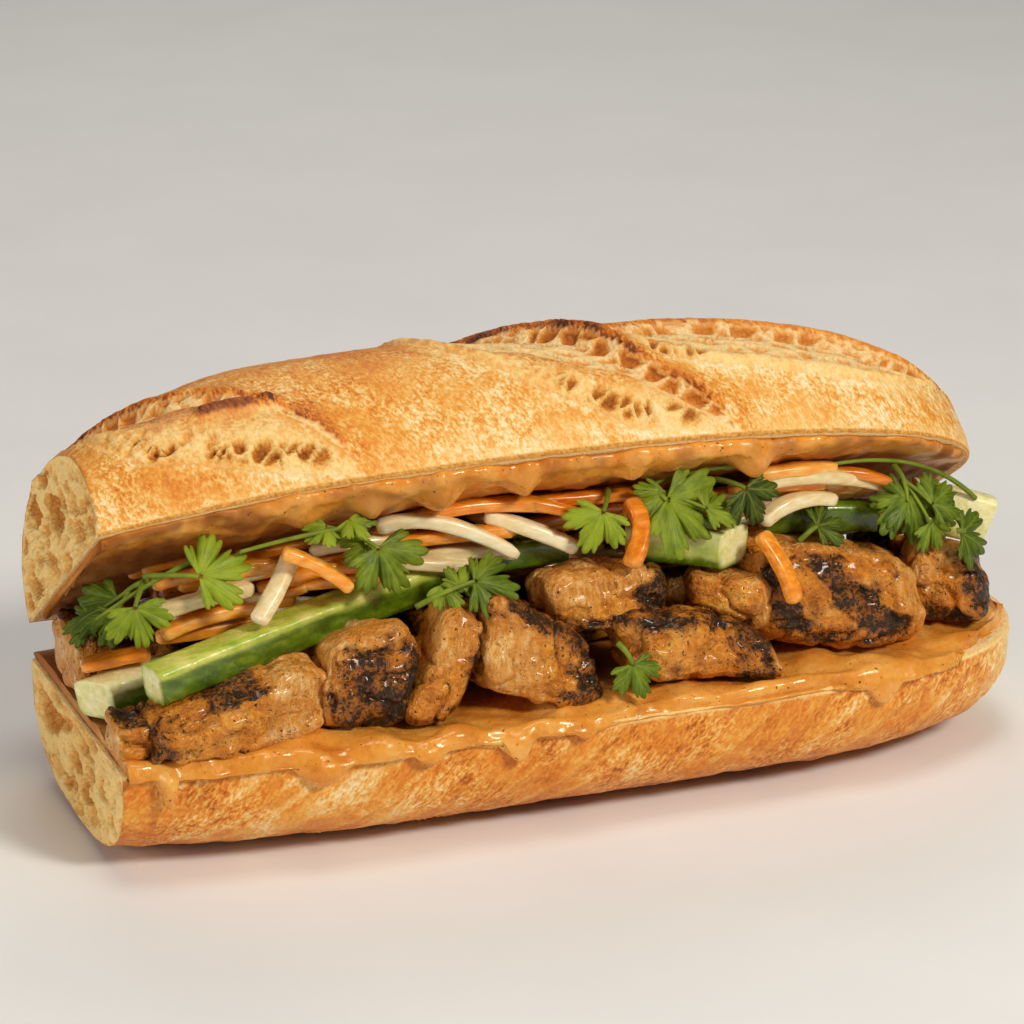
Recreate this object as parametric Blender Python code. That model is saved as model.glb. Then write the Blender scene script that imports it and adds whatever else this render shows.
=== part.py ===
"""Banh mi: a short baguette cut open along one side and filled with grilled chicken and salad.

Every size below is in millimetres and becomes metres when a mesh is made. X runs along the
loaf, with its cut end at -X and its rounded heel at +X. The open side faces -Y. The loaf
rests on Z = 0, and its top half is tilted open about its back edge.
"""

import math
import random

import bmesh
import bpy
from mathutils import Euler, Vector, noise

MM = 0.001
CLEARANCE = 0.3
# The tables below are measured from the middle of the loaf's cut line; this shift puts the
# origin under the middle of the whole sandwich.
ORIGIN_SHIFT = Vector((0.3, -3.2, 0.0))

# The loaf
LOAF_LEFT = -113.3
BOTTOM_LENGTH = 229.2
TOP_LENGTH = 222.8
HALF_WIDTH = 45.8
CUT_END_HALF_WIDTH = 38.7
WIDEST_AT = 0.257
BOTTOM_HEEL = 6.0
TOP_HEEL = 5.0
BASE_HEIGHT = 26.35
BASE_SQUARENESS = 2.83
BASE_FOOT = 0.5
DOME_HEIGHT = 39.5
DOME_SQUARENESS = 2.48
DOME_END_DROP = 0.22
HINGE_LIFT = 4.64
HINGE_LIFT_MIDDLE = 2.1
TILT = 33.3
TILT_MIDDLE = 1.6
ARC_PER_DEGREE = 0.72

# A slash in the crust runs from (x, angle round the dome) to (x, angle), with the width of
# its trough, how deep it is, and how high its torn lip stands.
SLASHES = (
    ((-99.0, 104.0), (-57.0, 3.0), 21.0, 1.6, 1.6),
    ((-22.0, 104.0), (36.0, 2.0), 24.0, 1.5, 3.0),
    ((24.0, 66.0), (99.0, 30.0), 13.0, 1.4, 1.8),
)

# Sauce
SAUCE_THICKNESS = 2.3
REST_HEIGHT = BASE_HEIGHT + CLEARANCE + SAUCE_THICKNESS + CLEARANCE
# A drip over the front crust: where it is along X, its half width, and how far it runs down.
DRIPS = (
    (-104.0, 2.6, 7.0),
    (-70.0, 8.0, 4.6),
    (-45.0, 5.0, 3.4),
    (-24.0, 5.0, 5.2),
    (-8.0, 3.5, 2.4),
    (67.0, 5.5, 5.0),
)
# A lump of sauce under the top half: along X, across, half width, and how far it hangs.
LUMPS = (
    (-74.0, -33.0, 8.0, 2.0),
    (-49.0, -36.0, 6.5, 2.6),
    (-27.0, -34.0, 8.0, 3.0),
    (2.0, -36.0, 9.0, 1.6),
    (31.0, -35.0, 7.0, 2.6),
    (62.0, -30.0, 9.0, 1.4),
)

# Chicken: name, centre, size, turn in degrees about X, Y and Z, and how much the top
# rises towards +X as a share of the height.
CHICKEN = (
    ("chicken_end_slice", (-106.3, 11.4, 37.2), (13.0, 20.0, 15.6), (0, 0, 3), 0.0),
    ("chicken_end_scrap", (-109.0, -29.5, 33.6), (8.8, 14.0, 8.6), (0, 0, -6), 0.0),
    ("chicken_front_1", (-85.4, -32.6, 36.0), (36.0, 17.0, 13.0), (0, 0, 5), 0.2),
    ("chicken_front_2", (-56.0, -30.0, 38.0), (20.5, 19.0, 17.4), (-8, 0, 2), 0.0),
    ("chicken_front_3", (-38.0, -30.5, 39.2), (10.5, 19.0, 20.5), (-6, 12, -4), 0.0),
    ("chicken_front_4", (-16.0, -30.5, 39.0), (27.0, 19.0, 19.6), (-6, 14, 4), -0.12),
    ("chicken_front_5", (3.6, -22.8, 50.2), (26.0, 17.4, 11.0), (-8, 4, 6), 0.0),
    ("chicken_front_6", (22.8, -32.0, 36.2), (34.6, 18.0, 13.8), (-5, 3, -3), -0.22),
    ("chicken_front_7", (35.0, -25.2, 45.2), (17.0, 10.6, 9.4), (0, 6, -24), 0.0),
    ("chicken_front_8", (63.4, -21.4, 40.2), (38.0, 21.0, 21.0), (-8, 5, -4), 0.0),
    ("chicken_front_9", (88.6, 3.2, 39.6), (14.0, 15.0, 19.0), (0, 4, -10), 0.0),
    ("chicken_front_10", (94.6, -16.4, 37.8), (20.0, 17.0, 16.4), (-4, 6, -20), 0.0),
    ("chicken_back_1", (-74.0, 11.0, 35.2), (44.0, 33.0, 11.6), (0, 0, 3), 0.0),
    ("chicken_back_2", (-30.5, 9.0, 35.6), (38.0, 34.0, 12.4), (0, 0, -4), 0.0),
    ("chicken_back_3", (10.5, 10.0, 35.4), (37.0, 33.0, 12.0), (0, 0, 3), 0.0),
    ("chicken_back_4", (52.0, 12.0, 35.2), (38.0, 32.0, 11.6), (0, 0, -3), 0.0),
)

# Cucumber batons: name, the middle of each end, and the width and height of the section.
CUCUMBER = (
    ("cucumber_1", (-115.4, -14.6, 34.8), (-91.6, -13.2, 38.4), 9.0, 9.0),
    ("cucumber_2", (-104.4, -33.4, 44.6), (-27.0, -13.4, 55.2), 8.6, 8.6),
    ("cucumber_3", (-20.0, -13.6, 56.6), (-1.0, -15.6, 58.2), 7.0, 6.4),
    ("cucumber_4", (16.0, -12.6, 57.0), (38.6, -27.0, 56.6), 10.0, 9.4),
    ("cucumber_5", (50.0, -11.0, 57.2), (78.0, -13.4, 55.4), 6.6, 7.0),
    ("cucumber_6", (91.0, -6.0, 54.4), (109.4, -9.4, 49.0), 7.0, 12.0),
)

# Cut strips that lie in front of the heap: name, kind, route, width and thickness.
STRIPS = (
    ("daikon_1", "daikon", ((-79.6, -31.0, 55.2), (-74.0, -27.4, 61.0), (-68.6, -22.4, 67.2)), 4.2, 3.2),
    ("daikon_2", "daikon", ((-99.4, -20.4, 56.4), (-88.0, -21.4, 58.8), (-77.4, -20.0, 59.4)), 4.0, 3.4),
    ("daikon_3", "daikon", ((-47.0, -17.4, 68.8), (-33.0, -20.4, 69.2), (-15.6, -23.4, 60.4)), 4.2, 3.2),
    ("daikon_4", "daikon", ((-21.0, -16.4, 68.4), (-11.0, -20.4, 65.0), (-1.0, -22.6, 60.0)), 4.4, 3.4),
    ("daikon_5", "daikon", ((45.6, -20.6, 59.8), (54.8, -19.0, 63.4), (66.0, -17.0, 61.8)), 4.2, 3.4),
    ("daikon_6", "daikon", ((47.0, -18.8, 68.8), (63.0, -17.8, 68.2), (80.0, -15.4, 63.0)), 4.0, 3.2),
    ("carrot_1", "carrot", ((-72.6, -28.0, 69.6), (-65.0, -29.4, 66.0), (-57.6, -30.0, 60.0)), 4.6, 3.0),
    ("carrot_2", "carrot", ((-99.0, -22.4, 51.6), (-88.0, -21.0, 54.2), (-77.0, -19.6, 54.0)), 4.0, 3.0),
    ("carrot_3", "carrot", ((-114.6, -11.0, 42.4), (-107.0, -12.4, 43.8), (-99.4, -14.0, 45.0)), 6.0, 2.6),
    ("carrot_4", "carrot", ((11.6, -22.8, 70.0), (12.4, -28.4, 65.0), (8.4, -32.0, 57.4)), 4.4, 3.0),
    ("carrot_5", "carrot", ((41.6, -29.6, 60.6), (45.4, -34.6, 53.0), (47.2, -37.0, 45.6)), 4.8, 3.0),
)

# The heap of shredded carrot and daikon. Its section is a list of (y, z) corners; the
# front of its lower part stands forward only to the left of the long cucumber's rise.
HEAP_LEFT = -97.0
HEAP_RIGHT = 79.0
HEAP_STATIONS = 16
HEAP_SHREDS = 13
HEAP_STEP = (-62.0, -50.0)
HEAP_FRONT_LEFT = -16.0
HEAP_FRONT_RIGHT = -6.6
HEAP_BACK = (
    (8.0, 43.2), (20.0, 43.0), (20.6, 44.4), (11.0, 50.4), (1.0, 57.0), (-8.0, 63.4),
)
HEAP_BROW = (-12.0, 64.3)

# Cilantro: name, centre of the leaf, its reach, which way it faces, which way its tip
# points, and where its stem ends.
CILANTRO = (
    ("cilantro_1", (-108.4, -4.6, 51.6), 9.0, (-0.45, -0.5, 0.75), (-0.75, 0.1, -0.45), (-98.6, -13.0, 61.4)),
    ("cilantro_2", (-86.4, -26.4, 66.8), 8.6, (-0.1, -0.85, 0.5), (0.8, -0.2, 0.3), (-101.4, -18.0, 64.4)),
    ("cilantro_3", (-104.6, -25.0, 55.6), 7.0, (-0.3, -0.9, 0.35), (0.15, -0.3, -0.95), (-101.0, -16.0, 62.6)),
    ("cilantro_4", (-48.0, -28.8, 63.2), 8.6, (0.0, -0.85, 0.5), (0.35, -0.35, -0.7), (-56.0, -18.0, 69.6)),
    ("cilantro_5", (-25.0, -33.0, 57.4), 8.0, (0.1, -0.7, 0.7), (0.95, -0.1, -0.25), (-43.0, -32.0, 54.4)),
    ("cilantro_6", (1.4, -28.0, 66.0), 7.4, (-0.2, -0.9, 0.35), (-0.4, -0.1, -0.7), (8.6, -18.0, 71.6)),
    ("cilantro_7", (24.6, -27.4, 66.4), 10.6, (0.0, -0.85, 0.55), (0.75, -0.3, -0.5), (16.6, -17.6, 71.4)),
    ("cilantro_8", (41.0, -25.8, 66.6), 7.2, (0.25, -0.9, 0.3), (0.4, -0.1, -0.8), (35.0, -18.4, 71.0)),
    ("cilantro_9", (5.4, -44.4, 35.4), 6.0, (0.0, -0.95, 0.3), (0.3, -0.2, -0.9), (1.0, -43.4, 44.0)),
    ("cilantro_10", (62.0, -22.4, 58.0), 5.6, (0.0, -0.7, 0.7), (0.95, 0.0, 0.2), (53.6, -24.6, 55.6)),
    ("cilantro_11", (83.6, -23.0, 57.6), 9.6, (0.1, -0.85, 0.5), (0.2, -0.3, -0.9), (81.4, -15.6, 68.2)),
    ("cilantro_12", (98.4, -24.0, 50.0), 7.4, (0.45, -0.75, 0.5), (0.8, 0.1, -0.45), (92.6, -27.4, 54.2)),
)
LEAF_THICKNESS = 0.7
STEM_WIDTH = 1.3

# Colour, roughness and metallic value of each material
FINISHES = {
    "crust": ((0.62, 0.33, 0.11), 0.55),
    "crumb": ((0.86, 0.70, 0.44), 0.80),
    "sauce": ((0.67, 0.33, 0.09), 0.25),
    "chicken": ((0.52, 0.26, 0.10), 0.40),
    "cucumber": ((0.22, 0.38, 0.06), 0.35),
    "daikon": ((0.86, 0.78, 0.58), 0.30),
    "carrot": ((0.85, 0.34, 0.05), 0.35),
    "cilantro": ((0.12, 0.30, 0.03), 0.45),
}


def clear_scene():
    for obj in list(bpy.data.objects):
        bpy.data.objects.remove(obj, do_unlink=True)


def make_materials():
    materials = {}
    for name, (colour, roughness) in FINISHES.items():
        material = bpy.data.materials.new(name)
        material.use_nodes = True
        shader = material.node_tree.nodes["Principled BSDF"]
        shader.inputs["Base Color"].default_value = (*colour, 1.0)
        shader.inputs["Roughness"].default_value = roughness
        shader.inputs["Metallic"].default_value = 0.0
        materials[name] = material
    return materials


def add_mesh(name, vertices, faces, material, collection=None):
    """Make one closed object from points in millimetres."""
    mesh = bpy.data.meshes.new(name)
    mesh.from_pydata([(Vector(point) + ORIGIN_SHIFT) * MM for point in vertices], [], faces)
    bm = bmesh.new()
    bm.from_mesh(mesh)
    bmesh.ops.recalc_face_normals(bm, faces=bm.faces)
    bmesh.ops.triangulate(bm, faces=bm.faces)
    bm.to_mesh(mesh)
    bm.free()
    mesh.materials.append(material)
    obj = bpy.data.objects.new(name, mesh)
    (collection or bpy.context.scene.collection).objects.link(obj)
    return obj


def loft(rings):
    """Join equal rings of points into a closed skin with flat ends."""
    count = len(rings[0])
    vertices = [point for ring in rings for point in ring]
    faces = []
    for row in range(len(rings) - 1):
        near = row * count
        far = near + count
        for j in range(count):
            k = (j + 1) % count
            faces.append((near + j, near + k, far + k, far + j))
    faces.append(tuple(range(count)))
    faces.append(tuple(range(len(vertices) - count, len(vertices))))
    return vertices, faces


def signed_power(value, power):
    return math.copysign(abs(value) ** power, value)


def bump(distance, reach):
    """A smooth hill, 1 at its middle and 0 at its reach."""
    if abs(distance) >= reach:
        return 0.0
    return 0.5 + 0.5 * math.cos(math.pi * distance / reach)


def half_width(s, heel):
    """Half a half's width at share s of its length; a higher heel ends more bluntly."""
    if s < WIDEST_AT:
        swell = math.sin(math.pi / 2 * s / WIDEST_AT)
        return CUT_END_HALF_WIDTH + (HALF_WIDTH - CUT_END_HALF_WIDTH) * swell
    t = (s - WIDEST_AT) / (1 - WIDEST_AT)
    return HALF_WIDTH * (1 - t ** heel) ** (1 / 2.2)


def fullness(s, heel, power):
    return min(1.0, (half_width(s, heel) / HALF_WIDTH) ** power)


def stations(count, last=0.9995):
    """Shares along the loaf, closer together where the heel rounds off."""
    shares = []
    for i in range(count + 1):
        t = i / count
        shares.append(last * (0.45 * t + 0.55 * math.sin(math.pi / 2 * t)))
    return shares


def tilt_at(s):
    return math.radians(TILT + TILT_MIDDLE * 4 * s * (1 - s))


def hinge_height(s):
    return BASE_HEIGHT + HINGE_LIFT + HINGE_LIFT_MIDDLE * 4 * s * (1 - s)


def in_top_half(s, across, above):
    """Place a point of the top half: across its cut face, and above that face."""
    angle = tilt_at(s)
    reach = across - HALF_WIDTH
    y = HALF_WIDTH + reach * math.cos(angle) + above * math.sin(angle)
    z = hinge_height(s) - reach * math.sin(angle) + above * math.cos(angle)
    return (LOAF_LEFT + s * TOP_LENGTH, y, z)


def slash_relief(x, degrees):
    """How far the crust stands out (+) or in (-) from the plain dome."""
    relief = 0.0
    arc = degrees * ARC_PER_DEGREE
    for start, end, width, depth, lip in SLASHES:
        start_arc = start[1] * ARC_PER_DEGREE
        run = Vector((end[0] - start[0], end[1] * ARC_PER_DEGREE - start_arc))
        offset = Vector((x - start[0], arc - start_arc))
        along = offset.dot(run) / run.length_squared
        beside = (offset.x * -run.y + offset.y * run.x) / run.length
        fade = bump(along - 0.5, 0.62)
        if -width < beside < 0:
            relief -= depth * fade * math.sin(math.pi * -beside / width) ** 0.6
        relief += lip * fade * bump(beside, 6.0)
    return relief


def make_bread_bottom(materials):
    rings = []
    sides = 15
    for s in stations(32):
        w = half_width(s, BOTTOM_HEEL)
        depth = (BASE_HEIGHT + BASE_FOOT) * fullness(s, BOTTOM_HEEL, 0.5)
        ring = []
        for j in range(sides + 1):
            angle = math.pi * j / sides
            y = w * signed_power(math.cos(angle), 2 / BASE_SQUARENESS)
            drop = abs(math.sin(angle)) ** (2 / BASE_SQUARENESS)
            ring.append((LOAF_LEFT + s * BOTTOM_LENGTH, y, max(0.0, BASE_HEIGHT - depth * drop)))
        rings.append(ring)
    vertices, faces = loft(rings)
    return add_mesh("bread_bottom", vertices, faces, materials["crust"])


def make_bread_top(materials):
    rings = []
    sides = 19
    for s in stations(42):
        w = half_width(s, TOP_HEEL)
        x = LOAF_LEFT + s * TOP_LENGTH
        end_drop = 1 - DOME_END_DROP * max(0.0, 1 - s / 0.2) ** 2
        height = DOME_HEIGHT * fullness(s, TOP_HEEL, 1.0) * end_drop
        ring = []
        for j in range(sides + 1):
            angle = math.pi * j / sides
            across = -w * signed_power(math.cos(angle), 2 / DOME_SQUARENESS)
            above = height * abs(math.sin(angle)) ** (2 / DOME_SQUARENESS)
            rise = slash_relief(x, math.degrees(angle)) * max(0.0, math.sin(angle)) ** 0.25
            swell = 1 + rise / max(math.hypot(across, above), 8.0)
            ring.append(in_top_half(s, across * swell, above * swell))
        rings.append(ring)
    vertices, faces = loft(rings)
    return add_mesh("bread_top", vertices, faces, materials["crust"])


def drip_length(x):
    length = 0.9 + 0.5 * noise.noise(Vector((x * 0.11, 3.7, 0.0)))
    for middle, reach, drop in DRIPS:
        length = max(length, drop * bump(x - middle, reach) ** 0.6)
    return max(length, 0.5)


def make_sauce_bottom(materials):
    rings = []
    floor = BASE_HEIGHT + CLEARANCE
    top = floor + SAUCE_THICKNESS
    for s in stations(66, last=0.985):
        s = max(s, 0.004)
        x = LOAF_LEFT + s * BOTTOM_LENGTH
        w = half_width(s, BOTTOM_HEEL)
        drop = drip_length(x)
        hang = 1.5 + 0.18 * drop
        bead = 0.5 + 0.5 * noise.noise(Vector((x * 0.13, 9.1, 0.0)))
        ring = [
            (x, w * 0.93, floor),
            (x, w * 0.92, top - 0.5),
            (x, w * 0.60, top),
            (x, -w * 0.60, top),
            (x, -w * 0.90, top),
            (x, -w - 0.1, top + 0.9 * bead - 0.6),
            (x, -w - 0.8 * hang, floor + 0.8),
            (x, -w - hang, floor - 0.35 * drop),
            (x, -w - 0.9 * hang, floor - 0.8 * drop),
            (x, -w - 0.55 * hang, floor - drop),
            (x, -w - 0.35, floor - 0.85 * drop),
            (x, -w - 0.35, floor),
            (x, -w * 0.5, floor),
        ]
        rings.append(ring)
    vertices, faces = loft(rings)
    return add_mesh("sauce_bottom", vertices, faces, materials["sauce"])


def sauce_hang(x, across):
    hang = 2.4 + 0.8 * noise.noise(Vector((x * 0.07, across * 0.09, 1.3)))
    for middle, side, reach, drop in LUMPS:
        hang += drop * bump(math.hypot(x - middle, across - side), reach)
    return hang


def make_sauce_top(materials):
    rings = []
    lanes = 7
    for s in stations(31, last=0.975):
        s = max(s, 0.006)
        x = LOAF_LEFT + s * TOP_LENGTH
        w = half_width(s, TOP_HEEL)
        front = -w + 1.4
        back = w - 9.0
        upper = []
        lower = []
        for lane in range(lanes + 1):
            across = front + (back - front) * lane / lanes
            edge = 0.4 if lane in (0, lanes) else 1.0
            upper.append(in_top_half(s, across, -CLEARANCE))
            lower.append(in_top_half(s, across, -CLEARANCE - edge * sauce_hang(x, across)))
        rings.append(upper + lower[::-1])
    vertices, faces = loft(rings)
    return add_mesh("sauce_top", vertices, faces, materials["sauce"])


def make_chunk(name, centre, size, turn, rise, material, divisions):
    """A torn, rounded block of meat that rests on the sauce or on what lies below it."""
    bm = bmesh.new()
    bmesh.ops.create_cube(bm, size=2.0)
    bmesh.ops.subdivide_edges(bm, edges=bm.edges, cuts=divisions - 1, use_grid_fill=True)
    turning = Euler([math.radians(angle) for angle in turn]).to_matrix()
    squareness = 4.5
    grain = Vector((centre[0] * 0.37, centre[1] * 0.53, 5.0))
    for vertex in bm.verts:
        p = vertex.co.copy()
        reach = sum(abs(c) ** squareness for c in p) ** (1 / squareness)
        p /= reach
        p.z = -1 + (p.z + 1) * (1 + rise * p.x)
        lump = 1 + 0.07 * noise.noise(p * 1.7 + grain)
        local = Vector((p.x * size[0] / 2, p.y * size[1] / 2, p.z * size[2] / 2)) * lump
        vertex.co = turning @ local + Vector(centre)
        vertex.co.z = max(vertex.co.z, REST_HEIGHT)
    points = [tuple(vertex.co) for vertex in bm.verts]
    faces = [tuple(vertex.index for vertex in face.verts) for face in bm.faces]
    bm.free()
    return add_mesh(name, points, faces, material)


def curve_point(route, t):
    """A point on a smooth curve through the ends and the middle of a route."""
    start, middle, end = (Vector(point) for point in route)
    bow = middle * 2 - (start + end) / 2
    return start * (1 - t) ** 2 + bow * 2 * t * (1 - t) + end * t ** 2


def sweep(route, section, steps):
    """Carry a section of (side, up) points along a route."""
    rings = []
    for i in range(steps + 1):
        t = i / steps
        here = curve_point(route, t)
        ahead = curve_point(route, min(1.0, t + 0.02)) - curve_point(route, max(0.0, t - 0.02))
        ahead.normalize()
        side = ahead.cross(Vector((0, 0, 1))).normalized()
        up = side.cross(ahead)
        rings.append([tuple(here + side * a + up * b) for a, b in section])
    return loft(rings)


def rounded_section(width, height, count, squareness=3.4):
    section = []
    for j in range(count):
        angle = 2 * math.pi * (j + 0.5) / count
        a = signed_power(math.cos(angle), 2 / squareness) * width / 2
        b = signed_power(math.sin(angle), 2 / squareness) * height / 2
        section.append((a, b))
    return section


def make_baton(name, start, end, width, height, material):
    middle = [(a + b) / 2 for a, b in zip(start, end)]
    middle[2] += 0.4
    vertices, faces = sweep((start, middle, end), rounded_section(width, height, 8), 3)
    return add_mesh(name, vertices, faces, material)


def strip_section(width, thickness):
    a = width / 2
    b = thickness / 2
    return [(-a, -b), (a, -b), (a, b), (-a, b)]


def make_strip(name, route, width, thickness, material, collection=None, steps=7):
    vertices, faces = sweep(route, strip_section(width, thickness), steps)
    return add_mesh(name, vertices, faces, material, collection)


def heap_section(x):
    """The heap's section at x: its lower front steps back where the cucumbers lie."""
    left, right = HEAP_STEP
    step = min(1.0, max(0.0, (x - left) / (right - left)))
    front = HEAP_FRONT_LEFT + (HEAP_FRONT_RIGHT - HEAP_FRONT_LEFT) * step
    brow_y, brow_z = HEAP_BROW
    lower_front = ((min(front, brow_y + 1.0), brow_z - 2.2), (front, brow_z - 4.4), (front, 50.8))
    return lower_front + ((front + 2.4, 44.2),) + HEAP_BACK + ((brow_y + 0.6, brow_z),)


def make_heap_core(materials, collection):
    rings = []
    centre_y = 2.0
    centre_z = 52.0
    for i in range(HEAP_STATIONS + 1):
        t = i / HEAP_STATIONS
        x = HEAP_LEFT + (HEAP_RIGHT - HEAP_LEFT) * t
        taper = 0.55 + 0.45 * min(1.0, 5 * t, 5 * (1 - t))
        ring = []
        for y, z in heap_section(x):
            wave = 0.5 * noise.noise(Vector((x * 0.12, y * 0.2, z * 0.2)))
            ring.append((x, centre_y + (y - centre_y) * taper + wave, centre_z + (z - centre_z) * taper))
        rings.append(ring)
    vertices, faces = loft(rings)
    return add_mesh("slaw_heap", vertices, faces, materials["carrot"], collection)


def make_slaw_heap(materials):
    """The heap: a core with the shreds that show on its front and top fused on."""
    rng = random.Random(11)
    shreds = bpy.data.collections.new("shreds")
    bpy.context.scene.collection.children.link(shreds)
    core = make_heap_core(materials, None)
    for i in range(HEAP_SHREDS):
        share = (i + 0.5) / HEAP_SHREDS
        x = HEAP_LEFT + 14 + (HEAP_RIGHT - HEAP_LEFT - 28) * share
        length = rng.uniform(15.0, 22.0)
        slope = rng.uniform(-0.04, 0.04)
        y, z = HEAP_BROW
        start = (x - length / 2, y + 1.4, z - 0.6 - slope * length)
        middle = (x, y - 0.8, z - 0.2)
        end = (x + length / 2, y + 1.4, z - 0.6 + slope * length)
        kind = materials["daikon"] if i % 3 == 0 else materials["carrot"]
        make_strip(f"shred_{i}", (start, middle, end), 3.4, 3.0, kind, shreds, steps=4)
    join = core.modifiers.new("shreds", 'BOOLEAN')
    join.operation = 'UNION'
    join.operand_type = 'COLLECTION'
    join.collection = shreds
    join.solver = 'EXACT'
    bpy.context.view_layer.update()
    joined = bpy.data.meshes.new_from_object(core.evaluated_get(bpy.context.evaluated_depsgraph_get()))
    core.modifiers.clear()
    core.data = joined
    for obj in list(shreds.objects):
        bpy.data.objects.remove(obj, do_unlink=True)
    bpy.data.collections.remove(shreds)
    return core


def leaf_reach(angle, reach):
    """A three-lobed leaf outline; the stem joins where the angle is half a turn."""
    lobes = 0.60 + 0.40 * abs(math.cos(1.5 * angle)) ** 0.7
    teeth = 1 + 0.07 * math.cos(12 * angle)
    notch = 1 - 0.72 * bump(abs(angle) - math.pi, 0.75)
    return reach * lobes * teeth * notch


def make_sprig(name, centre, reach, facing, tip, stem_end, material):
    """One cilantro leaf as a thin wavy solid, with its stem drawn out of its rim."""
    normal = Vector(facing).normalized()
    forward = Vector(tip)
    forward = (forward - normal * forward.dot(normal)).normalized()
    side = normal.cross(forward)
    middle = Vector(centre)
    count = 24
    half = LEAF_THICKNESS / 2
    vertices = []
    for face_side in (1, -1):
        vertices.append(middle + normal * half * face_side)
        for share in (0.5, 1.0):
            for k in range(count):
                angle = (k + 0.5) * 2 * math.pi / count - math.pi
                distance = leaf_reach(angle, reach) * share
                wave = 0.09 * reach * share * math.cos(3 * angle + reach)
                droop = -0.16 * reach * share * share
                flat = forward * math.cos(angle) + side * math.sin(angle)
                vertices.append(middle + flat * distance + normal * (wave + droop + half * face_side))
    faces = []
    layer = 1 + 2 * count
    for base in (0, layer):
        for k in range(count):
            n = (k + 1) % count
            inner, inner_next = base + 1 + k, base + 1 + n
            outer, outer_next = inner + count, inner_next + count
            faces.append((base, inner, inner_next))
            faces.append((inner, outer, outer_next))
            faces.append((inner, outer_next, inner_next))
    rim = 1 + count
    for k in range(count - 1):
        faces.append((rim + k, rim + k + 1, layer + rim + k + 1, layer + rim + k))
    root = [rim + count - 1, rim, layer + rim, layer + rim + count - 1]
    start = sum((vertices[index] for index in root), Vector()) / 4
    end = Vector(stem_end)
    bow = (start + end) / 2 + normal * 1.2
    for i in range(1, 5):
        t = i / 4
        here = start * (1 - t) ** 2 + bow * 2 * t * (1 - t) + end * t ** 2
        ahead = ((bow - start) * (1 - t) + (end - bow) * t).normalized()
        wide = ahead.cross(normal).normalized() * STEM_WIDTH / 2
        high = normal * STEM_WIDTH / 2
        if wide.dot(vertices[root[1]] - vertices[root[0]]) < 0:
            wide = -wide
        first = len(vertices)
        vertices += [here - wide + high, here + wide + high, here + wide - high, here - wide - high]
        for j in range(4):
            k = (j + 1) % 4
            faces.append((root[j], root[k], first + k, first + j))
        root = [first, first + 1, first + 2, first + 3]
    faces.append(tuple(root))
    return add_mesh(name, [tuple(point) for point in vertices], faces, material)


def make_chicken(materials):
    for name, centre, size, turn, rise in CHICKEN:
        divisions = 3 if name.startswith("chicken_back") else 4
        make_chunk(name, centre, size, turn, rise, materials["chicken"], divisions)


def make_salad(materials):
    for name, start, end, width, height in CUCUMBER:
        make_baton(name, start, end, width, height, materials["cucumber"])
    make_slaw_heap(materials)
    for name, kind, route, width, thickness in STRIPS:
        make_strip(name, route, width, thickness, materials[kind])
    for name, centre, reach, facing, tip, stem_end in CILANTRO:
        make_sprig(name, centre, reach, facing, tip, stem_end, materials["cilantro"])


def main():
    clear_scene()
    materials = make_materials()
    make_bread_bottom(materials)
    make_bread_top(materials)
    make_sauce_bottom(materials)
    make_sauce_top(materials)
    make_chicken(materials)
    make_salad(materials)


main()
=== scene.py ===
"""Looks of a banh mi: a split short baguette with sauce, grilled chicken, salad and herbs.

Sizes and places are in millimetres and become metres when a mesh is made. The tables share
their frame with the solids: X runs along the loaf, the cut end is at -X, the open side faces
-Y, and ORIGIN_SHIFT moves the tables' own middle onto the frame's.
"""

import math
import random
from itertools import product

import bmesh
import bpy
import numpy as np
from mathutils import Euler, Matrix, Vector, noise


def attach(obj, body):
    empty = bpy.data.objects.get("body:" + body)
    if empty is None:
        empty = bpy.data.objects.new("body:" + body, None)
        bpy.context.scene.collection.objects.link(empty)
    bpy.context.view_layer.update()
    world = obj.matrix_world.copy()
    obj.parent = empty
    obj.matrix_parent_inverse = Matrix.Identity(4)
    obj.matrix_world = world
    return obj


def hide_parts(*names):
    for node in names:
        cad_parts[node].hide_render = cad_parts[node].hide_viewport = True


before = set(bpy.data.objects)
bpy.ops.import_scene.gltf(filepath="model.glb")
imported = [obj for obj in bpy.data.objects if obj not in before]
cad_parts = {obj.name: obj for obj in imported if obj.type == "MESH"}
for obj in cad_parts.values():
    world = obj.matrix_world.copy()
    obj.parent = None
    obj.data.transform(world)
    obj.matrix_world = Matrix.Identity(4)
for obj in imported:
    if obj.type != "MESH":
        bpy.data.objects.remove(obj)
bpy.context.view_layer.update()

MM = 0.001
ORIGIN_SHIFT = np.array((0.3, -3.2, 0.0))
CLEARANCE = 0.3

# The loaf
LOAF_LEFT = -113.3
BOTTOM_LENGTH = 229.2
TOP_LENGTH = 222.8
HALF_WIDTH = 45.8
CUT_END_HALF_WIDTH = 38.7
WIDEST_AT = 0.257
BOTTOM_HEEL = 6.0
TOP_HEEL = 5.0
BASE_HEIGHT = 26.35
BASE_SQUARENESS = 2.83
BASE_FOOT = 0.5
DOME_HEIGHT = 39.5
DOME_SQUARENESS = 2.48
DOME_END_DROP = 0.22
HINGE_LIFT = 4.64
HINGE_LIFT_MIDDLE = 2.1
TILT = 33.3
TILT_MIDDLE = 1.6
ARC_PER_DEGREE = 0.72

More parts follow.
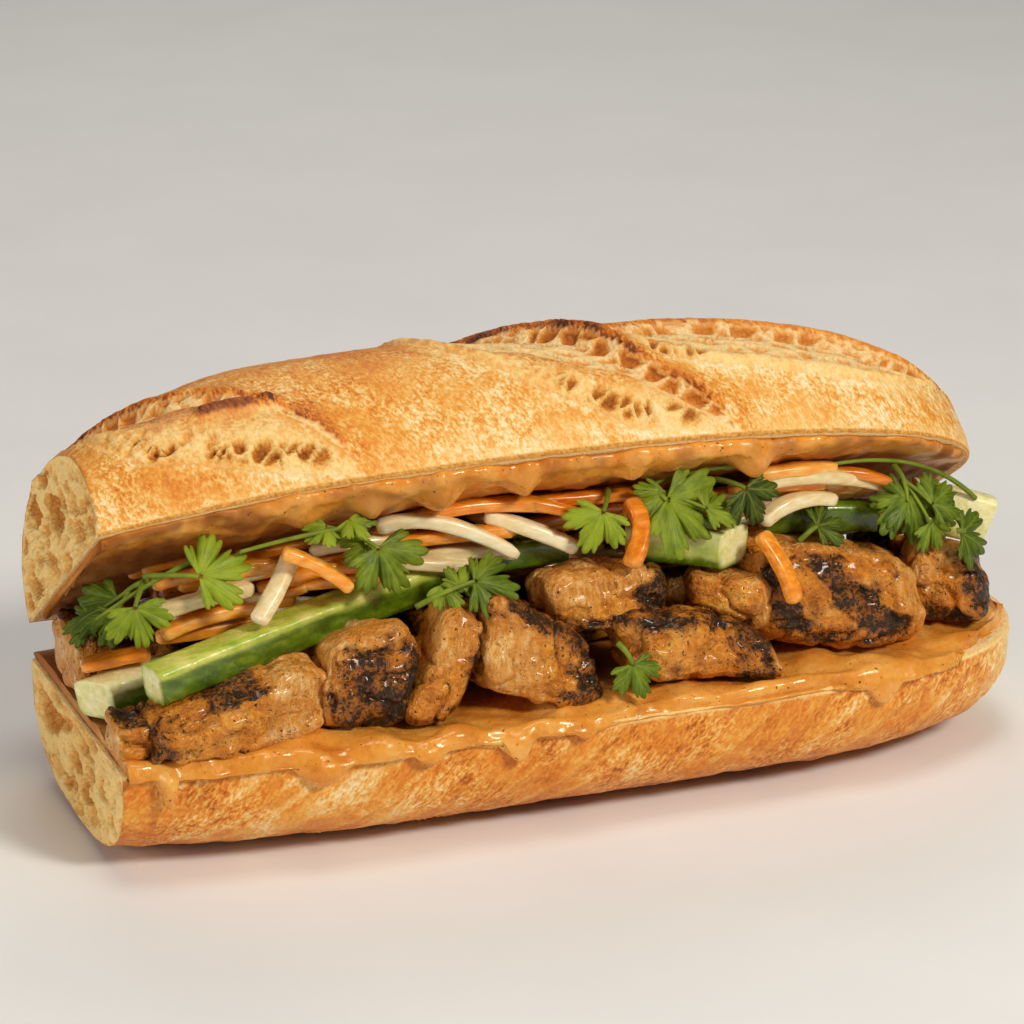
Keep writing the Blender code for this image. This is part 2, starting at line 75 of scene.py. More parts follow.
# How fine the meshes are: rows along a piece, points round it, and rings that close an end
LOAF_STATIONS = 285
DOME_LANES = 195
BASE_LANES = 175
CUT_LANES = 24
END_RINGS = 46
SAUCE_BOTTOM_STATIONS = 470
SAUCE_BOTTOM_LANES = 104
SAUCE_TOP_STATIONS = 430
SAUCE_TOP_LANES = 72
SAUCE_HIDDEN_LANES = 18
CHICKEN_CUTS = 40
SMALL_CHICKEN_CUTS = 34
HIDDEN_CHICKEN_CUTS = 16
SMALL_CHICKEN = 18.0
BATON_STATIONS = 72
BATON_LANES = 56
HEAP_STATIONS = 90
HEAP_LANES = 48
LEAF_ANGLES = 140
LEAF_RINGS = 9
STEM_STATIONS = 22
STEM_LANES = 10
STRIP_STATIONS = 40
STRIP_LANES = 20
SHRED_STATIONS = 26
SHRED_LANES = 14

# A slash lies between its ear and its low line, and the ear's brown hollow wall reaches down
# to the foot line. Each line is a row of (x, degrees round the dome).
SLASHES = (
    {
        "ear": ((-113, 100), (-104, 81), (-96, 68), (-84, 49), (-76.5, 38), (-71, 31), (-62.5, 19),
                (-58, 10), (-55, 1)),
        "foot": ((-112, 80), (-106, 58), (-99, 48), (-92, 44), (-85.5, 41), (-77, 34), (-71, 28),
                 (-63, 17), (-57, 6)),
        "low": ((-112, 90), (-109, 62), (-107.5, 42), (-101, 22), (-89.5, 12.5), (-79, 7.5),
                (-70, 3.8), (-61, 1.6), (-55, 0.8)),
        "depth": 3.4, "lip": 1.3, "swell": 1.0, "burn": 0.7, "streak": 0.8,
        "holed": (-104, -58),
    },
    {
        "ear": ((-36, 104), (-16, 88), (0, 71), (8.5, 56), (13, 44), (17, 32), (21, 24), (25, 18.5),
                (29, 13.5), (32, 8), (36.5, 0.5)),
        "foot": ((-32, 84), (-27, 62), (-18.5, 44), (-9.5, 38.5), (-2, 31.5), (5.5, 26), (12, 21.5),
                 (18, 16), (24, 10), (29, 5), (34, 1)),
        "low": ((-37, 98), (-34, 70), (-29.4, 53), (-24.7, 43), (-19.5, 34.4), (-13, 25),
                (-6, 17.4), (1, 11), (7.5, 5.6), (13, 3), (22, 1.4), (34, 0.4)),
        "depth": 3.8, "lip": 2.3, "swell": 1.1, "burn": 1.0, "streak": 0.8,
        "holed": (-3, 27),
    },
    {
        "ear": ((15, 50), (26, 57), (41, 57), (58, 50), (73, 45), (85, 42), (96, 42), (102, 44)),
        "foot": ((16, 46), (25, 39), (35, 31), (46, 28.5), (57, 26), (70, 25), (84, 25), (97, 33)),
        "low": ((16, 42), (22, 30), (34, 24), (46, 21.5), (58, 18.5), (75, 17.5), (90, 22.5),
                (100, 36)),
        "depth": 3.0, "lip": 1.0, "swell": 1.1, "burn": 0.35, "streak": 2.6,
        "holed": (20, 34),
    },
)
# A torn tongue of crust that stands in the first slash, as (x, degrees) of its two ends
TONGUE = ((-84.5, 32.5), (-70.5, 30.5))

# Large holes in the crumb of the cut end: (y, z, radius)
TOP_END_HOLES = (
    (33.0, 65.0, 4.4), (13.5, 70.0, 5.2), (23.5, 76.0, 3.0), (34.0, 46.0, 3.4), (4.0, 61.0, 2.6),
    (20.0, 57.0, 2.4), (-6.0, 72.0, 2.8), (-14.0, 64.0, 2.0), (28.0, 54.5, 2.2), (11.0, 50.0, 2.6),
)
BOTTOM_END_HOLES = (
    (25.0, 18.0, 5.6), (2.0, 14.0, 2.8), (4.5, 8.0, 2.2), (-5.0, 9.0, 2.6), (-12.0, 8.5, 2.2),
    (12.0, 20.0, 2.4), (-20.0, 16.0, 2.4), (-28.0, 12.0, 2.0), (15.0, 8.0, 2.0), (-3.0, 19.5, 2.0),
)

# Sauce
SAUCE_THICKNESS = 2.3
SAUCE_SETBACK = 2.7
SAUCE_BACK_SETBACK = 9.0
REST_HEIGHT = BASE_HEIGHT + CLEARANCE + SAUCE_THICKNESS + CLEARANCE
# A drip over the front crust: where it is along X, its half width, and how far it runs down
DRIPS = (
    (-104.0, 2.6, 7.0),
    (-70.0, 8.0, 4.6),
    (-45.0, 5.0, 3.4),
    (-24.0, 5.0, 5.2),
    (-8.0, 3.5, 2.4),
    (67.0, 5.5, 5.0),
)
# A stretch where the bottom sauce stops short of the edge: from x, to x, and how far
BARE_RIMS = ((-2.0, 57.0, 1.3), (92.0, 130.0, 4.6))
# A lump of sauce under the top half: along X, across, half width, and how far it hangs
LUMPS = (
    (-66.0, -36.0, 8.0, 2.4),
    (-51.0, -36.5, 6.0, 2.6),
    (-34.0, -36.0, 7.5, 4.2),
    (-14.0, -36.0, 6.5, 3.0),
    (12.0, -37.0, 6.0, 1.8),
    (42.0, -36.0, 6.5, 3.4),
)

# Chicken: name, centre, size, turn in degrees about X, Y and Z, and how much the top
# rises towards +X as a share of the height.
CHICKEN = (
    ("chicken_end_slice", (-106.3, 11.4, 37.2), (13.0, 20.0, 15.6), (0, 0, 3), 0.0),
    ("chicken_end_scrap", (-109.0, -29.5, 33.6), (8.8, 14.0, 8.6), (0, 0, -6), 0.0),
    ("chicken_front_1", (-85.4, -32.6, 36.0), (36.0, 17.0, 13.0), (0, 0, 5), 0.2),
    ("chicken_front_2", (-56.0, -30.0, 38.0), (20.5, 19.0, 17.4), (-8, 0, 2), 0.0),
    ("chicken_front_3", (-38.0, -30.5, 39.2), (10.5, 19.0, 20.5), (-6, 12, -4), 0.0),
    ("chicken_front_4", (-16.0, -30.5, 39.0), (27.0, 19.0, 19.6), (-6, 14, 4), -0.12),
    ("chicken_front_5", (3.6, -22.8, 50.2), (26.0, 17.4, 11.0), (-8, 4, 6), 0.0),
    ("chicken_front_6", (22.8, -32.0, 36.2), (34.6, 18.0, 13.8), (-5, 3, -3), -0.22),
    ("chicken_front_7", (35.0, -25.2, 45.2), (17.0, 10.6, 9.4), (0, 6, -24), 0.0),
    ("chicken_front_8", (63.4, -21.4, 40.2), (38.0, 21.0, 21.0), (-8, 5, -4), 0.0),
    ("chicken_front_9", (88.6, 3.2, 39.6), (14.0, 15.0, 19.0), (0, 4, -10), 0.0),
    ("chicken_front_10", (94.6, -16.4, 37.8), (20.0, 17.0, 16.4), (-4, 6, -20), 0.0),
    ("chicken_back_1", (-74.0, 11.0, 35.2), (44.0, 33.0, 11.6), (0, 0, 3), 0.0),
    ("chicken_back_2", (-30.5, 9.0, 35.6), (38.0, 34.0, 12.4), (0, 0, -4), 0.0),
    ("chicken_back_3", (10.5, 10.0, 35.4), (37.0, 33.0, 12.0), (0, 0, 3), 0.0),
    ("chicken_back_4", (52.0, 12.0, 35.2), (38.0, 32.0, 11.6), (0, 0, -3), 0.0),
)
# How a block leaves its plain form: the corner, edge or side that is pulled, as signs along the
# block's own axes, and how far it is pulled in mm.
PULLS = {
    "chicken_front_1": (
        (-1, 0, 0, -1.0, 0.0, -0.8), (1, 0, 1, 0.0, 0.0, 1.6), (-1, -1, -1, -2.6, -2.4, -0.6),
    ),
    "chicken_front_2": (
        (0, 0, 1, 0.0, 0.0, 2.8), (-1, -1, 0, -1.2, -1.6, 0.0), (1, 0, 1, 1.6, 0.0, 1.4),
        (1, 0, -1, -1.6, 0.0, 0.0), (-1, 0, 1, 2.0, 0.0, -1.4),
    ),
    "chicken_front_3": (
        (0, 0, 1, 3.6, 0.0, 2.2), (0, 0, -1, -2.6, 0.0, 0.0),
    ),
    "chicken_front_4": (
        (-1, 0, 1, 0.0, 0.0, 3.4), (1, 0, 1, -3.8, 0.0, 0.6), (1, 0, -1, 3.6, -1.4, -1.0),
        (-1, 0, -1, 0.0, 0.0, 3.4),
    ),
    "chicken_front_5": (
        (1, -1, -1, -2.0, -1.0, -3.4), (0, -1, -1, 1.0, -1.0, -3.0), (-1, 0, 0, -1.2, 0.0, 0.4),
        (-1, 0, 1, 0.0, 0.0, -1.4),
    ),
    "chicken_front_6": (
        (-1, 0, -1, 3.0, 0.0, 2.6), (1, 0, -1, 3.0, 0.0, 0.0), (1, 0, 1, -3.4, 0.0, -1.0),
        (0, 0, 1, 0.0, 0.0, 1.4),
    ),
    "chicken_front_7": (
        (1, 0, -1, 1.6, 0.0, -2.2), (-1, 0, 0, 0.0, 0.0, 1.0),
    ),
    "chicken_front_8": (
        (-1, 0, 1, -3.6, 0.0, 1.6), (0, 0, 1, -1.0, 0.0, 2.2), (1, 0, 1, -4.0, 0.0, -2.6),
        (1, 0, -1, 1.6, -1.0, 0.0),
    ),
    "chicken_front_9": (
        (0, 0, 1, 1.0, 0.0, 1.0),
    ),
    "chicken_front_10": (
        (1, 0, 1, -2.4, 0.0, -1.2), (1, 0, -1, 1.6, 0.0, 0.0), (-1, 0, 1, 1.0, 0.0, 1.6),
    ),
}
FLESH_SWELL = 1.11
FLESH_SQUARENESS = 4.4
# How a piece is cut and grilled: the sides that were sliced open and show pale meat, as
# directions in the block's own axes with the share where the side starts; the sides that the
# grill charred, likewise; and how much char there is over the whole piece.
GRILLING = {
    "chicken_end_slice": (((-1, 0, 0, 0.80),), ((0, 0, 1, 0.50),), 0.35),
    "chicken_end_scrap": (((-1, 0, 0, 0.80),), ((0, 0, 1, 0.70),), 0.30),
    "chicken_front_1": (((1, 0, 0, 0.24),), ((0, 0, 1, 0.74), (-1, 0, 0, 0.80)), 0.28),
    "chicken_front_2": (((0, 0, 1, 0.76), (-1, 0, 0, 0.86)), ((0, -1, 0, 0.55),), 0.38),
    "chicken_front_3": (((-0.4, -0.5, 0.7, 0.66),), ((1, 0, 0, 0.55), (0, 0, -1, 0.80)), 0.32),
    "chicken_front_4": (((-0.6, -0.7, -0.2, 0.76),), ((1, 0, 0, 0.46), (0, 0, 1, 0.60)), 0.34),
    "chicken_front_5": (((-0.4, -0.3, 0.8, 0.46),), ((1, 0, 0, 0.40), (0, 0, -1, 0.55)), 0.30),
    "chicken_front_6": (((1, 0, 0, 0.95),), ((1, 0, 0, 0.36), (0, 0, 1, 0.66)), 0.30),
    "chicken_front_7": (((1, 0, 0, 0.60), (0, 0, 1, 0.80)), ((0, 0, -1, 0.50),), 0.20),
    "chicken_front_8": (((1, 0, 0, 0.72), (0, 0, 1, 0.90)), ((0, -1, 0, 0.80),), 0.28),
    "chicken_front_9": (((0, 0, 1, 0.90),), ((-1, 0, 0, 0.40),), 0.36),
    "chicken_front_10": (((-0.6, -0.2, 0.7, 0.70),), ((0, 0, -1, 0.40), (1, 0, 0, 0.50)), 0.36),
}
PLAIN_GRILLING = (((-1, 0, 0, 0.80),), ((0, 0, 1, 0.50),), 0.35)

# Cucumber batons: name, the middle of each end, the width and height of the section, and
# where the dark skin is: its middle in degrees from the front over the top, and its half width;
# then how pale the flesh is, and how far the front of each end is cut back.
CUCUMBER = (
    ("cucumber_1", (-115.4, -14.6, 34.8), (-91.6, -13.2, 38.4), 9.0, 9.0, -28.0, 44.0, 0.8, 6.0, 0.0),
    ("cucumber_2", (-104.4, -33.4, 44.6), (-27.0, -13.4, 55.2), 8.6, 8.6, -34.0, 58.0, 0.1, 0.0, 0.0),
    ("cucumber_3", (-20.0, -13.6, 56.6), (-1.0, -15.6, 58.2), 7.0, 6.4, 40.0, 90.0, 0.3, 0.0, 0.0),
    ("cucumber_4", (16.0, -12.6, 57.0), (38.6, -27.0, 56.6), 10.0, 9.4, -72.0, 46.0, 0.45, 0.0, 5.0),
    ("cucumber_5", (50.0, -11.0, 57.2), (78.0, -13.4, 55.4), 6.6, 7.0, 20.0, 100.0, 0.1, 0.0, 0.0),
    ("cucumber_6", (91.0, -6.0, 54.4), (109.4, -9.4, 49.0), 7.0, 12.0, 180.0, 40.0, 1.3, 0.0, 0.0),
)

# Cut strips that lie in front of the heap: name, route, width and thickness.
STRIPS = (
    ("daikon_1", ((-79.6, -31.0, 55.2), (-74.0, -27.4, 61.0), (-68.6, -22.4, 67.2)), 4.2, 3.2),
    ("daikon_2", ((-99.4, -20.4, 56.4), (-88.0, -21.4, 58.8), (-77.4, -20.0, 59.4)), 4.0, 3.4),
    ("daikon_3", ((-47.0, -17.4, 68.8), (-33.0, -20.4, 69.2), (-15.6, -23.4, 60.4)), 4.2, 3.2),
    ("daikon_4", ((-21.0, -16.4, 68.4), (-11.0, -20.4, 65.0), (-1.0, -22.6, 60.0)), 4.4, 3.4),
    ("daikon_5", ((45.6, -20.6, 59.8), (54.8, -19.0, 63.4), (66.0, -17.0, 61.8)), 4.2, 3.4),
    ("daikon_6", ((47.0, -18.8, 68.8), (63.0, -17.8, 68.2), (80.0, -15.4, 63.0)), 4.0, 3.2),
    ("carrot_1", ((-72.6, -28.0, 69.6), (-65.0, -29.4, 66.0), (-57.6, -30.0, 60.0)), 4.6, 3.0),
    ("carrot_2", ((-99.0, -22.4, 51.6), (-88.0, -21.0, 54.2), (-77.0, -19.6, 54.0)), 4.0, 3.0),
    ("carrot_3", ((-114.6, -11.0, 42.4), (-107.0, -12.4, 43.8), (-99.4, -14.0, 45.0)), 6.0, 2.6),
    ("carrot_4", ((11.6, -22.8, 70.0), (12.4, -28.4, 65.0), (8.4, -32.0, 57.4)), 4.4, 3.0),
    ("carrot_5", ((41.6, -29.6, 60.6), (45.4, -34.6, 53.0), (47.2, -37.0, 45.6)), 4.8, 3.0),
)

# The heap's shreds that the picture shows one by one: kind, route, width and thickness
HEAP_STRIPS = (
    ("carrot", ((-47.0, -15.0, 66.4), (-27.0, -17.6, 71.4), (-2.0, -16.4, 68.2)), 5.0, 3.0),
    ("carrot", ((-48.0, -15.6, 63.6), (-34.0, -18.6, 65.4), (-14.0, -17.6, 64.4)), 4.4, 3.0),
    ("carrot", ((-68.0, -18.6, 60.4), (-58.0, -19.6, 61.4), (-46.0, -17.8, 59.6)), 3.6, 2.8),
    ("carrot", ((-66.0, -16.0, 57.2), (-56.0, -18.6, 57.8), (-44.0, -18.2, 57.2)), 3.4, 2.8),
    ("carrot", ((-99.0, -17.6, 49.6), (-86.0, -18.4, 50.0), (-70.0, -17.6, 51.4)), 3.8, 2.8),
    ("carrot", ((44.0, -17.6, 70.2), (54.0, -18.4, 71.0), (66.0, -15.6, 69.4)), 4.8, 3.0),
    ("carrot", ((66.0, -16.0, 68.2), (74.0, -17.4, 67.0), (82.0, -17.0, 63.2)), 3.8, 2.6),
    ("carrot", ((40.0, -14.0, 66.4), (52.0, -16.0, 66.6), (64.0, -15.0, 65.4)), 3.6, 2.6),
    ("daikon", ((-52.0, -17.0, 64.0), (-40.0, -20.0, 60.6), (-26.0, -19.0, 58.4)), 4.6, 3.0),
    ("daikon", ((-62.0, -15.0, 64.2), (-52.0, -17.4, 65.8), (-40.0, -16.4, 64.4)), 3.4, 2.8),
    ("daikon", ((-36.0, -16.0, 60.4), (-26.0, -18.8, 61.0), (-14.0, -18.0, 58.8)), 3.4, 2.8),
    ("carrot", ((-14.0, -16.0, 71.0), (-2.0, -18.6, 68.0), (8.0, -17.0, 62.6)), 4.6, 2.8),
    ("carrot", ((-14.0, -14.0, 69.4), (2.0, -16.4, 69.8), (20.0, -14.6, 68.4)), 4.4, 2.8),
)
HEAP_LEFT = -97.0
HEAP_RIGHT = 79.0
HEAP_STEP = (-62.0, -50.0)
HEAP_FRONT_LEFT = -16.0
HEAP_FRONT_RIGHT = -6.6
HEAP_BACK = (
    (8.0, 43.2), (20.0, 43.0), (20.6, 44.4), (11.0, 50.4), (1.0, 57.0), (-8.0, 63.4),
)
HEAP_BROW = (-12.0, 64.3)
HEAP_CORE_SHARE = 0.86
HEAP_FRONT_SHREDS = 58
HEAP_BACK_SHREDS = 46
HEAP_SEED = 23
FIRST_SHRED_SEED = 300
DAIKON_SHARE = 0.4
SHRED_LENGTH = (16.0, 30.0)
SHRED_WIDTH = (2.8, 3.8)
SHRED_THICKNESS = (2.2, 2.9)
# The heap's back, from its brow down, as (y, z) of the two ends of the slope
BACK_SLOPE = ((-8.0, 63.4), (20.0, 44.4))

# Cilantro, sprig 1 first: how light it is (own tone with painted light and shade), the centre
# of its leaf, its reach, which way it faces, which way its tip points, and where its stem ends.
CILANTRO = (
    (0.35, (-108.4, -4.6, 51.6), 9.0, (-0.45, -0.5, 0.75), (-0.75, 0.1, -0.45), (-98.6, -13.0, 61.4)),
    (0.95, (-86.4, -26.4, 66.8), 8.6, (-0.1, -0.85, 0.5), (0.8, -0.2, 0.3), (-101.4, -18.0, 64.4)),
    (0.85, (-104.6, -25.0, 55.6), 7.0, (-0.3, -0.9, 0.35), (0.15, -0.3, -0.95), (-101.0, -16.0, 62.6)),
    (0.75, (-48.0, -28.8, 63.2), 8.6, (0.0, -0.85, 0.5), (0.35, -0.35, -0.7), (-56.0, -18.0, 69.6)),
    (0.60, (-25.0, -33.0, 57.4), 8.0, (0.1, -0.7, 0.7), (0.95, -0.1, -0.25), (-43.0, -32.0, 54.4)),
    (0.85, (1.4, -28.0, 66.0), 7.4, (-0.2, -0.9, 0.35), (-0.4, -0.1, -0.7), (8.6, -18.0, 71.6)),
    (0.60, (24.6, -27.4, 66.4), 10.6, (0.0, -0.85, 0.55), (0.75, -0.3, -0.5), (16.6, -17.6, 71.4)),
    (0.15, (41.0, -25.8, 66.6), 7.2, (0.25, -0.9, 0.3), (0.4, -0.1, -0.8), (35.0, -18.4, 71.0)),
    (0.65, (5.4, -44.4, 35.4), 6.0, (0.0, -0.95, 0.3), (0.3, -0.2, -0.9), (1.0, -43.4, 44.0)),
    (0.40, (62.0, -22.4, 58.0), 5.6, (0.0, -0.7, 0.7), (0.95, 0.0, 0.2), (53.6, -24.6, 55.6)),
    (0.60, (83.6, -23.0, 57.6), 9.6, (0.1, -0.85, 0.5), (0.2, -0.3, -0.9), (81.4, -15.6, 68.2)),
    (0.35, (98.4, -24.0, 50.0), 7.4, (0.45, -0.75, 0.5), (0.8, 0.1, -0.45), (92.6, -27.4, 54.2)),
)
# More leaflets of the same sprigs: the sprig's number, centre, reach, facing and tip
LEAFLETS = (
    (1, (-112.0, -1.0, 49.0), 6.0, (-0.6, -0.4, 0.7), (-0.6, 0.6, -0.5)),
    (1, (-107.0, -10.5, 50.6), 5.6, (-0.3, -0.7, 0.6), (-0.5, -0.5, -0.7)),
    (4, (-54.0, -24.0, 66.0), 5.2, (-0.2, -0.8, 0.5), (-0.7, -0.3, -0.4)),
    (4, (-64.0, -27.0, 72.6), 4.6, (0.0, -0.5, 0.85), (-0.8, -0.5, -0.1)),
    (4, (-55.0, -27.4, 73.0), 4.4, (0.1, -0.5, 0.85), (0.5, -0.8, -0.2)),
    (5, (-35.0, -32.6, 56.4), 5.0, (0.0, -0.6, 0.8), (0.4, -0.6, -0.4)),
    (5, (-31.0, -30.0, 59.2), 4.6, (0.0, -0.7, 0.7), (0.5, 0.3, 0.6)),
    (7, (17.0, -25.0, 69.4), 6.0, (0.0, -0.8, 0.6), (-0.2, -0.5, 0.2)),
    (7, (32.0, -26.0, 68.0), 6.0, (0.1, -0.8, 0.6), (0.8, -0.1, 0.4)),
    (11, (78.0, -22.0, 61.6), 6.6, (0.0, -0.8, 0.6), (-0.8, -0.2, 0.3)),
    (11, (90.6, -22.4, 61.6), 6.6, (0.2, -0.8, 0.5), (0.8, -0.1, 0.5)),
    (11, (88.6, -24.6, 53.0), 5.8, (0.2, -0.9, 0.3), (0.5, -0.2, -0.9)),
)
# Long bare stems between the leaves: the sprig's number, start, bow and end
LONG_STEMS = (
    (11, (64.0, -17.0, 70.6), (2.0, -1.4, 4.6), (105.0, -12.0, 56.0)),
    (7, (18.0, -19.0, 71.6), (0.0, -1.0, 1.8), (46.0, -20.0, 73.4)),
    (4, (-82.0, -27.0, 70.6), (0.0, -1.0, 1.0), (-50.0, -25.6, 73.0)),
    (1, (-112.0, -16.0, 55.0), (0.0, -1.6, 1.6), (-88.0, -22.0, 69.4)),
)
LEAF_THICKNESS = 0.45
STEM_RADIUS = 0.62

# The camera of the photograph
CAMERA_TARGET = Vector((-7.8, -3.2, 62.3))
CAMERA_AZIMUTH = -20.6
CAMERA_ELEVATION = 18.93
CAMERA_DISTANCE = 1017.6
CAMERA_LENS = 154.83
# Studio lights: name, place in metres, size, power and colour
LIGHTS = (
    ("key", (0.50, -1.10, 0.95), 0.34, 15.2, (1.0, 0.95, 0.86)),
    ("top", (0.0, -0.15, 1.30), 0.5, 3.2, (1.0, 0.96, 0.89)),
    ("left", (-1.35, -0.35, 0.45), 0.6, 6.6, (1.0, 0.96, 0.89)),
    ("back", (0.2, 0.9, 0.9), 0.6, 2.6, (1.0, 0.97, 0.92)),
)
LIGHTS_AIM = Vector((0, 0, 0.05))
WORLD_COLOUR = (1.0, 0.97, 0.92, 1.0)
WORLD_STRENGTH = 0.10


# Repeatable noise

def lattice(x, y, z, seed):
    """A repeatable random number from 0 to 1 for each point with whole coordinates."""
    mixed = (x * 374761393 + y * 668265263 + z * 1440662683 + seed * 974634777) & 0xFFFFFFFF
    mixed = ((mixed ^ (mixed >> 13)) * 1274126177) & 0xFFFFFFFF
    mixed = mixed ^ (mixed >> 16)
    return mixed / 4294967295.0


def smooth_noise(points, size, seed=0):
    """Noise from -1 to 1 at points in mm, with hills about as wide as size."""
    scaled = np.asarray(points, float) / size
    cell = np.floor(scaled).astype(np.int64)
    share = scaled - cell
    share = share * share * (3 - 2 * share)
    total = np.zeros(len(scaled))
    for corner in product((0, 1), repeat=3):
        weight = np.ones(len(scaled))
        for axis in range(3):
            weight *= share[:, axis] if corner[axis] else 1 - share[:, axis]
        total += weight * lattice(*(cell[:, axis] + corner[axis] for axis in range(3)), seed)
    return total * 2 - 1


def rough_noise(points, size, seed=0, layers=3):
    """Noise from about -1 to 1 with finer hills on the coarse ones."""
    total = 0.0
    strength = 1.0
    for layer in range(layers):
        total = total + strength * smooth_noise(points, size / 2 ** layer, seed + 17 * layer)
        strength *= 0.5
    return total / (2 - 2 * strength)


def cell_noise(points, size, seed=0):
    """Distance to the nearest and next scattered point, in sizes, and a number per cell."""
    scaled = np.asarray(points, float) / size
    cell = np.floor(scaled).astype(np.int64)
    nearest = np.full(len(scaled), 9.0)
    second = np.full(len(scaled), 9.0)
    tag = np.zeros(len(scaled))
    for step in product((-1, 0, 1), repeat=3):
        home = cell + np.array(step)
        distance = 0.0
        for axis in range(3):
            spot = home[:, axis] + lattice(home[:, 0], home[:, 1], home[:, 2], seed + axis)
            distance = distance + (scaled[:, axis] - spot) ** 2
        distance = np.sqrt(distance)
        closer = distance < nearest
        second = np.where(closer, nearest, np.minimum(second, distance))
        tag = np.where(closer, lattice(home[:, 0], home[:, 1], home[:, 2], seed + 5), tag)
        nearest = np.where(closer, distance, nearest)
    return nearest, second, tag


def step_up(value, low, high):
    """0 below low, 1 above high, and smooth between."""
    share = np.clip((value - low) / (high - low), 0, 1)
    return share * share * (3 - 2 * share)


def signed_power(value, power):
    return np.copysign(np.abs(value) ** power, value)


def hill(distance, reach):
    """A smooth hill, 1 at its middle and 0 from its reach on."""
    inside = np.abs(distance) < reach
    return np.where(inside, 0.5 + 0.5 * np.cos(np.pi * np.clip(distance / reach, -1, 1)), 0.0)


# Meshes

def outward(points, faces):
    """The faces turned so that a closed mesh's volume is positive."""
    a, b, c = (points[faces[:, k]] for k in range(3))
    volume = np.einsum("ij,ij->i", a, np.cross(b, c)).sum()
    if faces.shape[1] == 4:
        d = points[faces[:, 3]]
        volume += np.einsum("ij,ij->i", a, np.cross(c, d)).sum()
    return faces if volume > 0 else faces[:, ::-1]


def new_piece(name, points, face_sets, material, masks, replaces):
    """One smooth-shaded object from points in the tables' frame, riding on the sandwich."""
    points = np.asarray(points, float)
    mesh = bpy.data.meshes.new(name)
    faces = [face for faces in face_sets for face in faces.tolist()]
    mesh.from_pydata(((points + ORIGIN_SHIFT) * MM).tolist(), [], faces)
    mesh.polygons.foreach_set("use_smooth", np.ones(len(mesh.polygons), bool))
    for key, values in masks.items():
        attribute = mesh.attributes.new(key, 'FLOAT', 'POINT')
        attribute.data.foreach_set("value", np.clip(values, 0, 1).astype(np.float32))
    mesh.materials.append(material)
    mesh.update()
    piece = bpy.data.objects.new(name, mesh)
    bpy.context.scene.collection.objects.link(piece)
    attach(piece, "root")
    if replaces:
        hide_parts(*replaces)
    return piece


def ring_faces(rows, count, first=0):
    """Quads between rows of closed rings with count points each."""
    row = np.arange(rows - 1)[:, None] * count
    here = np.arange(count)[None, :]
    after = (here + 1) % count
    quads = np.stack([row + here, row + after, row + count + after, row + count + here], -1)
    return quads.reshape(-1, 4) + first


def cap_rings(rim, centre, count, power=1.0):
    """Rings that shrink from a rim to its centre, for a closed end; the last is the centre."""
    shares = (1 - np.linspace(0, 1, count + 1)[1:-1]) ** power
    return [centre + (rim - centre) * share for share in shares]


def grid_normals(grid, inside):
    """Unit normals of a grid of points, away from the line of inside points."""
    along = np.gradient(grid, axis=0)
    around = np.gradient(grid, axis=1)
    normal = np.cross(along, around)
    normal /= np.maximum(np.linalg.norm(normal, axis=2, keepdims=True), 1e-9)
    flip = np.sign(np.einsum("ijk,ijk->ij", normal, grid - inside[:, None, :]))
    flip[flip == 0] = 1
    return normal * flip[:, :, None]


def joined(parts):
    """Join (points, quads, masks) of several shapes into one."""
    points, quads, masks = [], [], {}
    first = 0
    for part_points, part_quads, part_masks in parts:
        points.append(part_points)
        quads.append(part_quads + first)
        first += len(part_points)
        for key, values in part_masks.items():
            masks.setdefault(key, []).append(values)
    masks = {key: np.concatenate(values) for key, values in masks.items()}
    return np.vstack(points), np.vstack(quads), masks


# The loaf's form

def half_width(s, heel):
    """Half a half's width at share s of its length; a higher heel ends more bluntly."""
    swell = np.sin(np.pi / 2 * np.minimum(s / WIDEST_AT, 1))
    t = np.clip((s - WIDEST_AT) / (1 - WIDEST_AT), 0, 1)
    before = CUT_END_HALF_WIDTH + (HALF_WIDTH - CUT_END_HALF_WIDTH) * swell
    return np.where(s < WIDEST_AT, before, HALF_WIDTH * (1 - t ** heel) ** (1 / 2.2))


def fullness(s, heel, power):
    return np.minimum(1.0, (half_width(s, heel) / HALF_WIDTH) ** power)


def stations(count, last=0.9995):
    """Shares along the loaf, a little closer together where the heel rounds off."""
    t = np.linspace(0, 1, count)
    return last * (0.72 * t + 0.28 * np.sin(np.pi / 2 * t))


def in_top_half(s, across, above):
    """Place points of the top half: across its cut face, and above that face."""
    angle = np.radians(TILT + TILT_MIDDLE * 4 * s * (1 - s))
    hinge = BASE_HEIGHT + HINGE_LIFT + HINGE_LIFT_MIDDLE * 4 * s * (1 - s)
    reach = across - HALF_WIDTH
    y = HALF_WIDTH + reach * np.cos(angle) + above * np.sin(angle)
    z = hinge - reach * np.sin(angle) + above * np.cos(angle)
    x = np.broadcast_to(LOAF_LEFT + s * TOP_LENGTH, y.shape)
    return np.stack([x, y, z], -1)


def even_angles(count, width, height, squareness):
    """Angles round half a superellipse whose points are evenly spaced."""
    dense = np.linspace(0, np.pi, 4001)
    a = width * signed_power(np.cos(dense), 2 / squareness)
    b = height * np.abs(np.sin(dense)) ** (2 / squareness)
    length = np.concatenate([[0], np.cumsum(np.hypot(np.diff(a), np.diff(b)))])
    return np.interp(np.linspace(0, length[-1], count), length, dense)


def smooth_curve(p0, p1, p2, p3, t):
    """The point at share t from p1 to p2 on a smooth curve through all four."""
    return 0.5 * (2 * p1 + (p2 - p0) * t + (2 * p0 - 5 * p1 + 4 * p2 - p3) * t ** 2
                  + (3 * p1 - p0 - 3 * p2 + p3) * t ** 3)


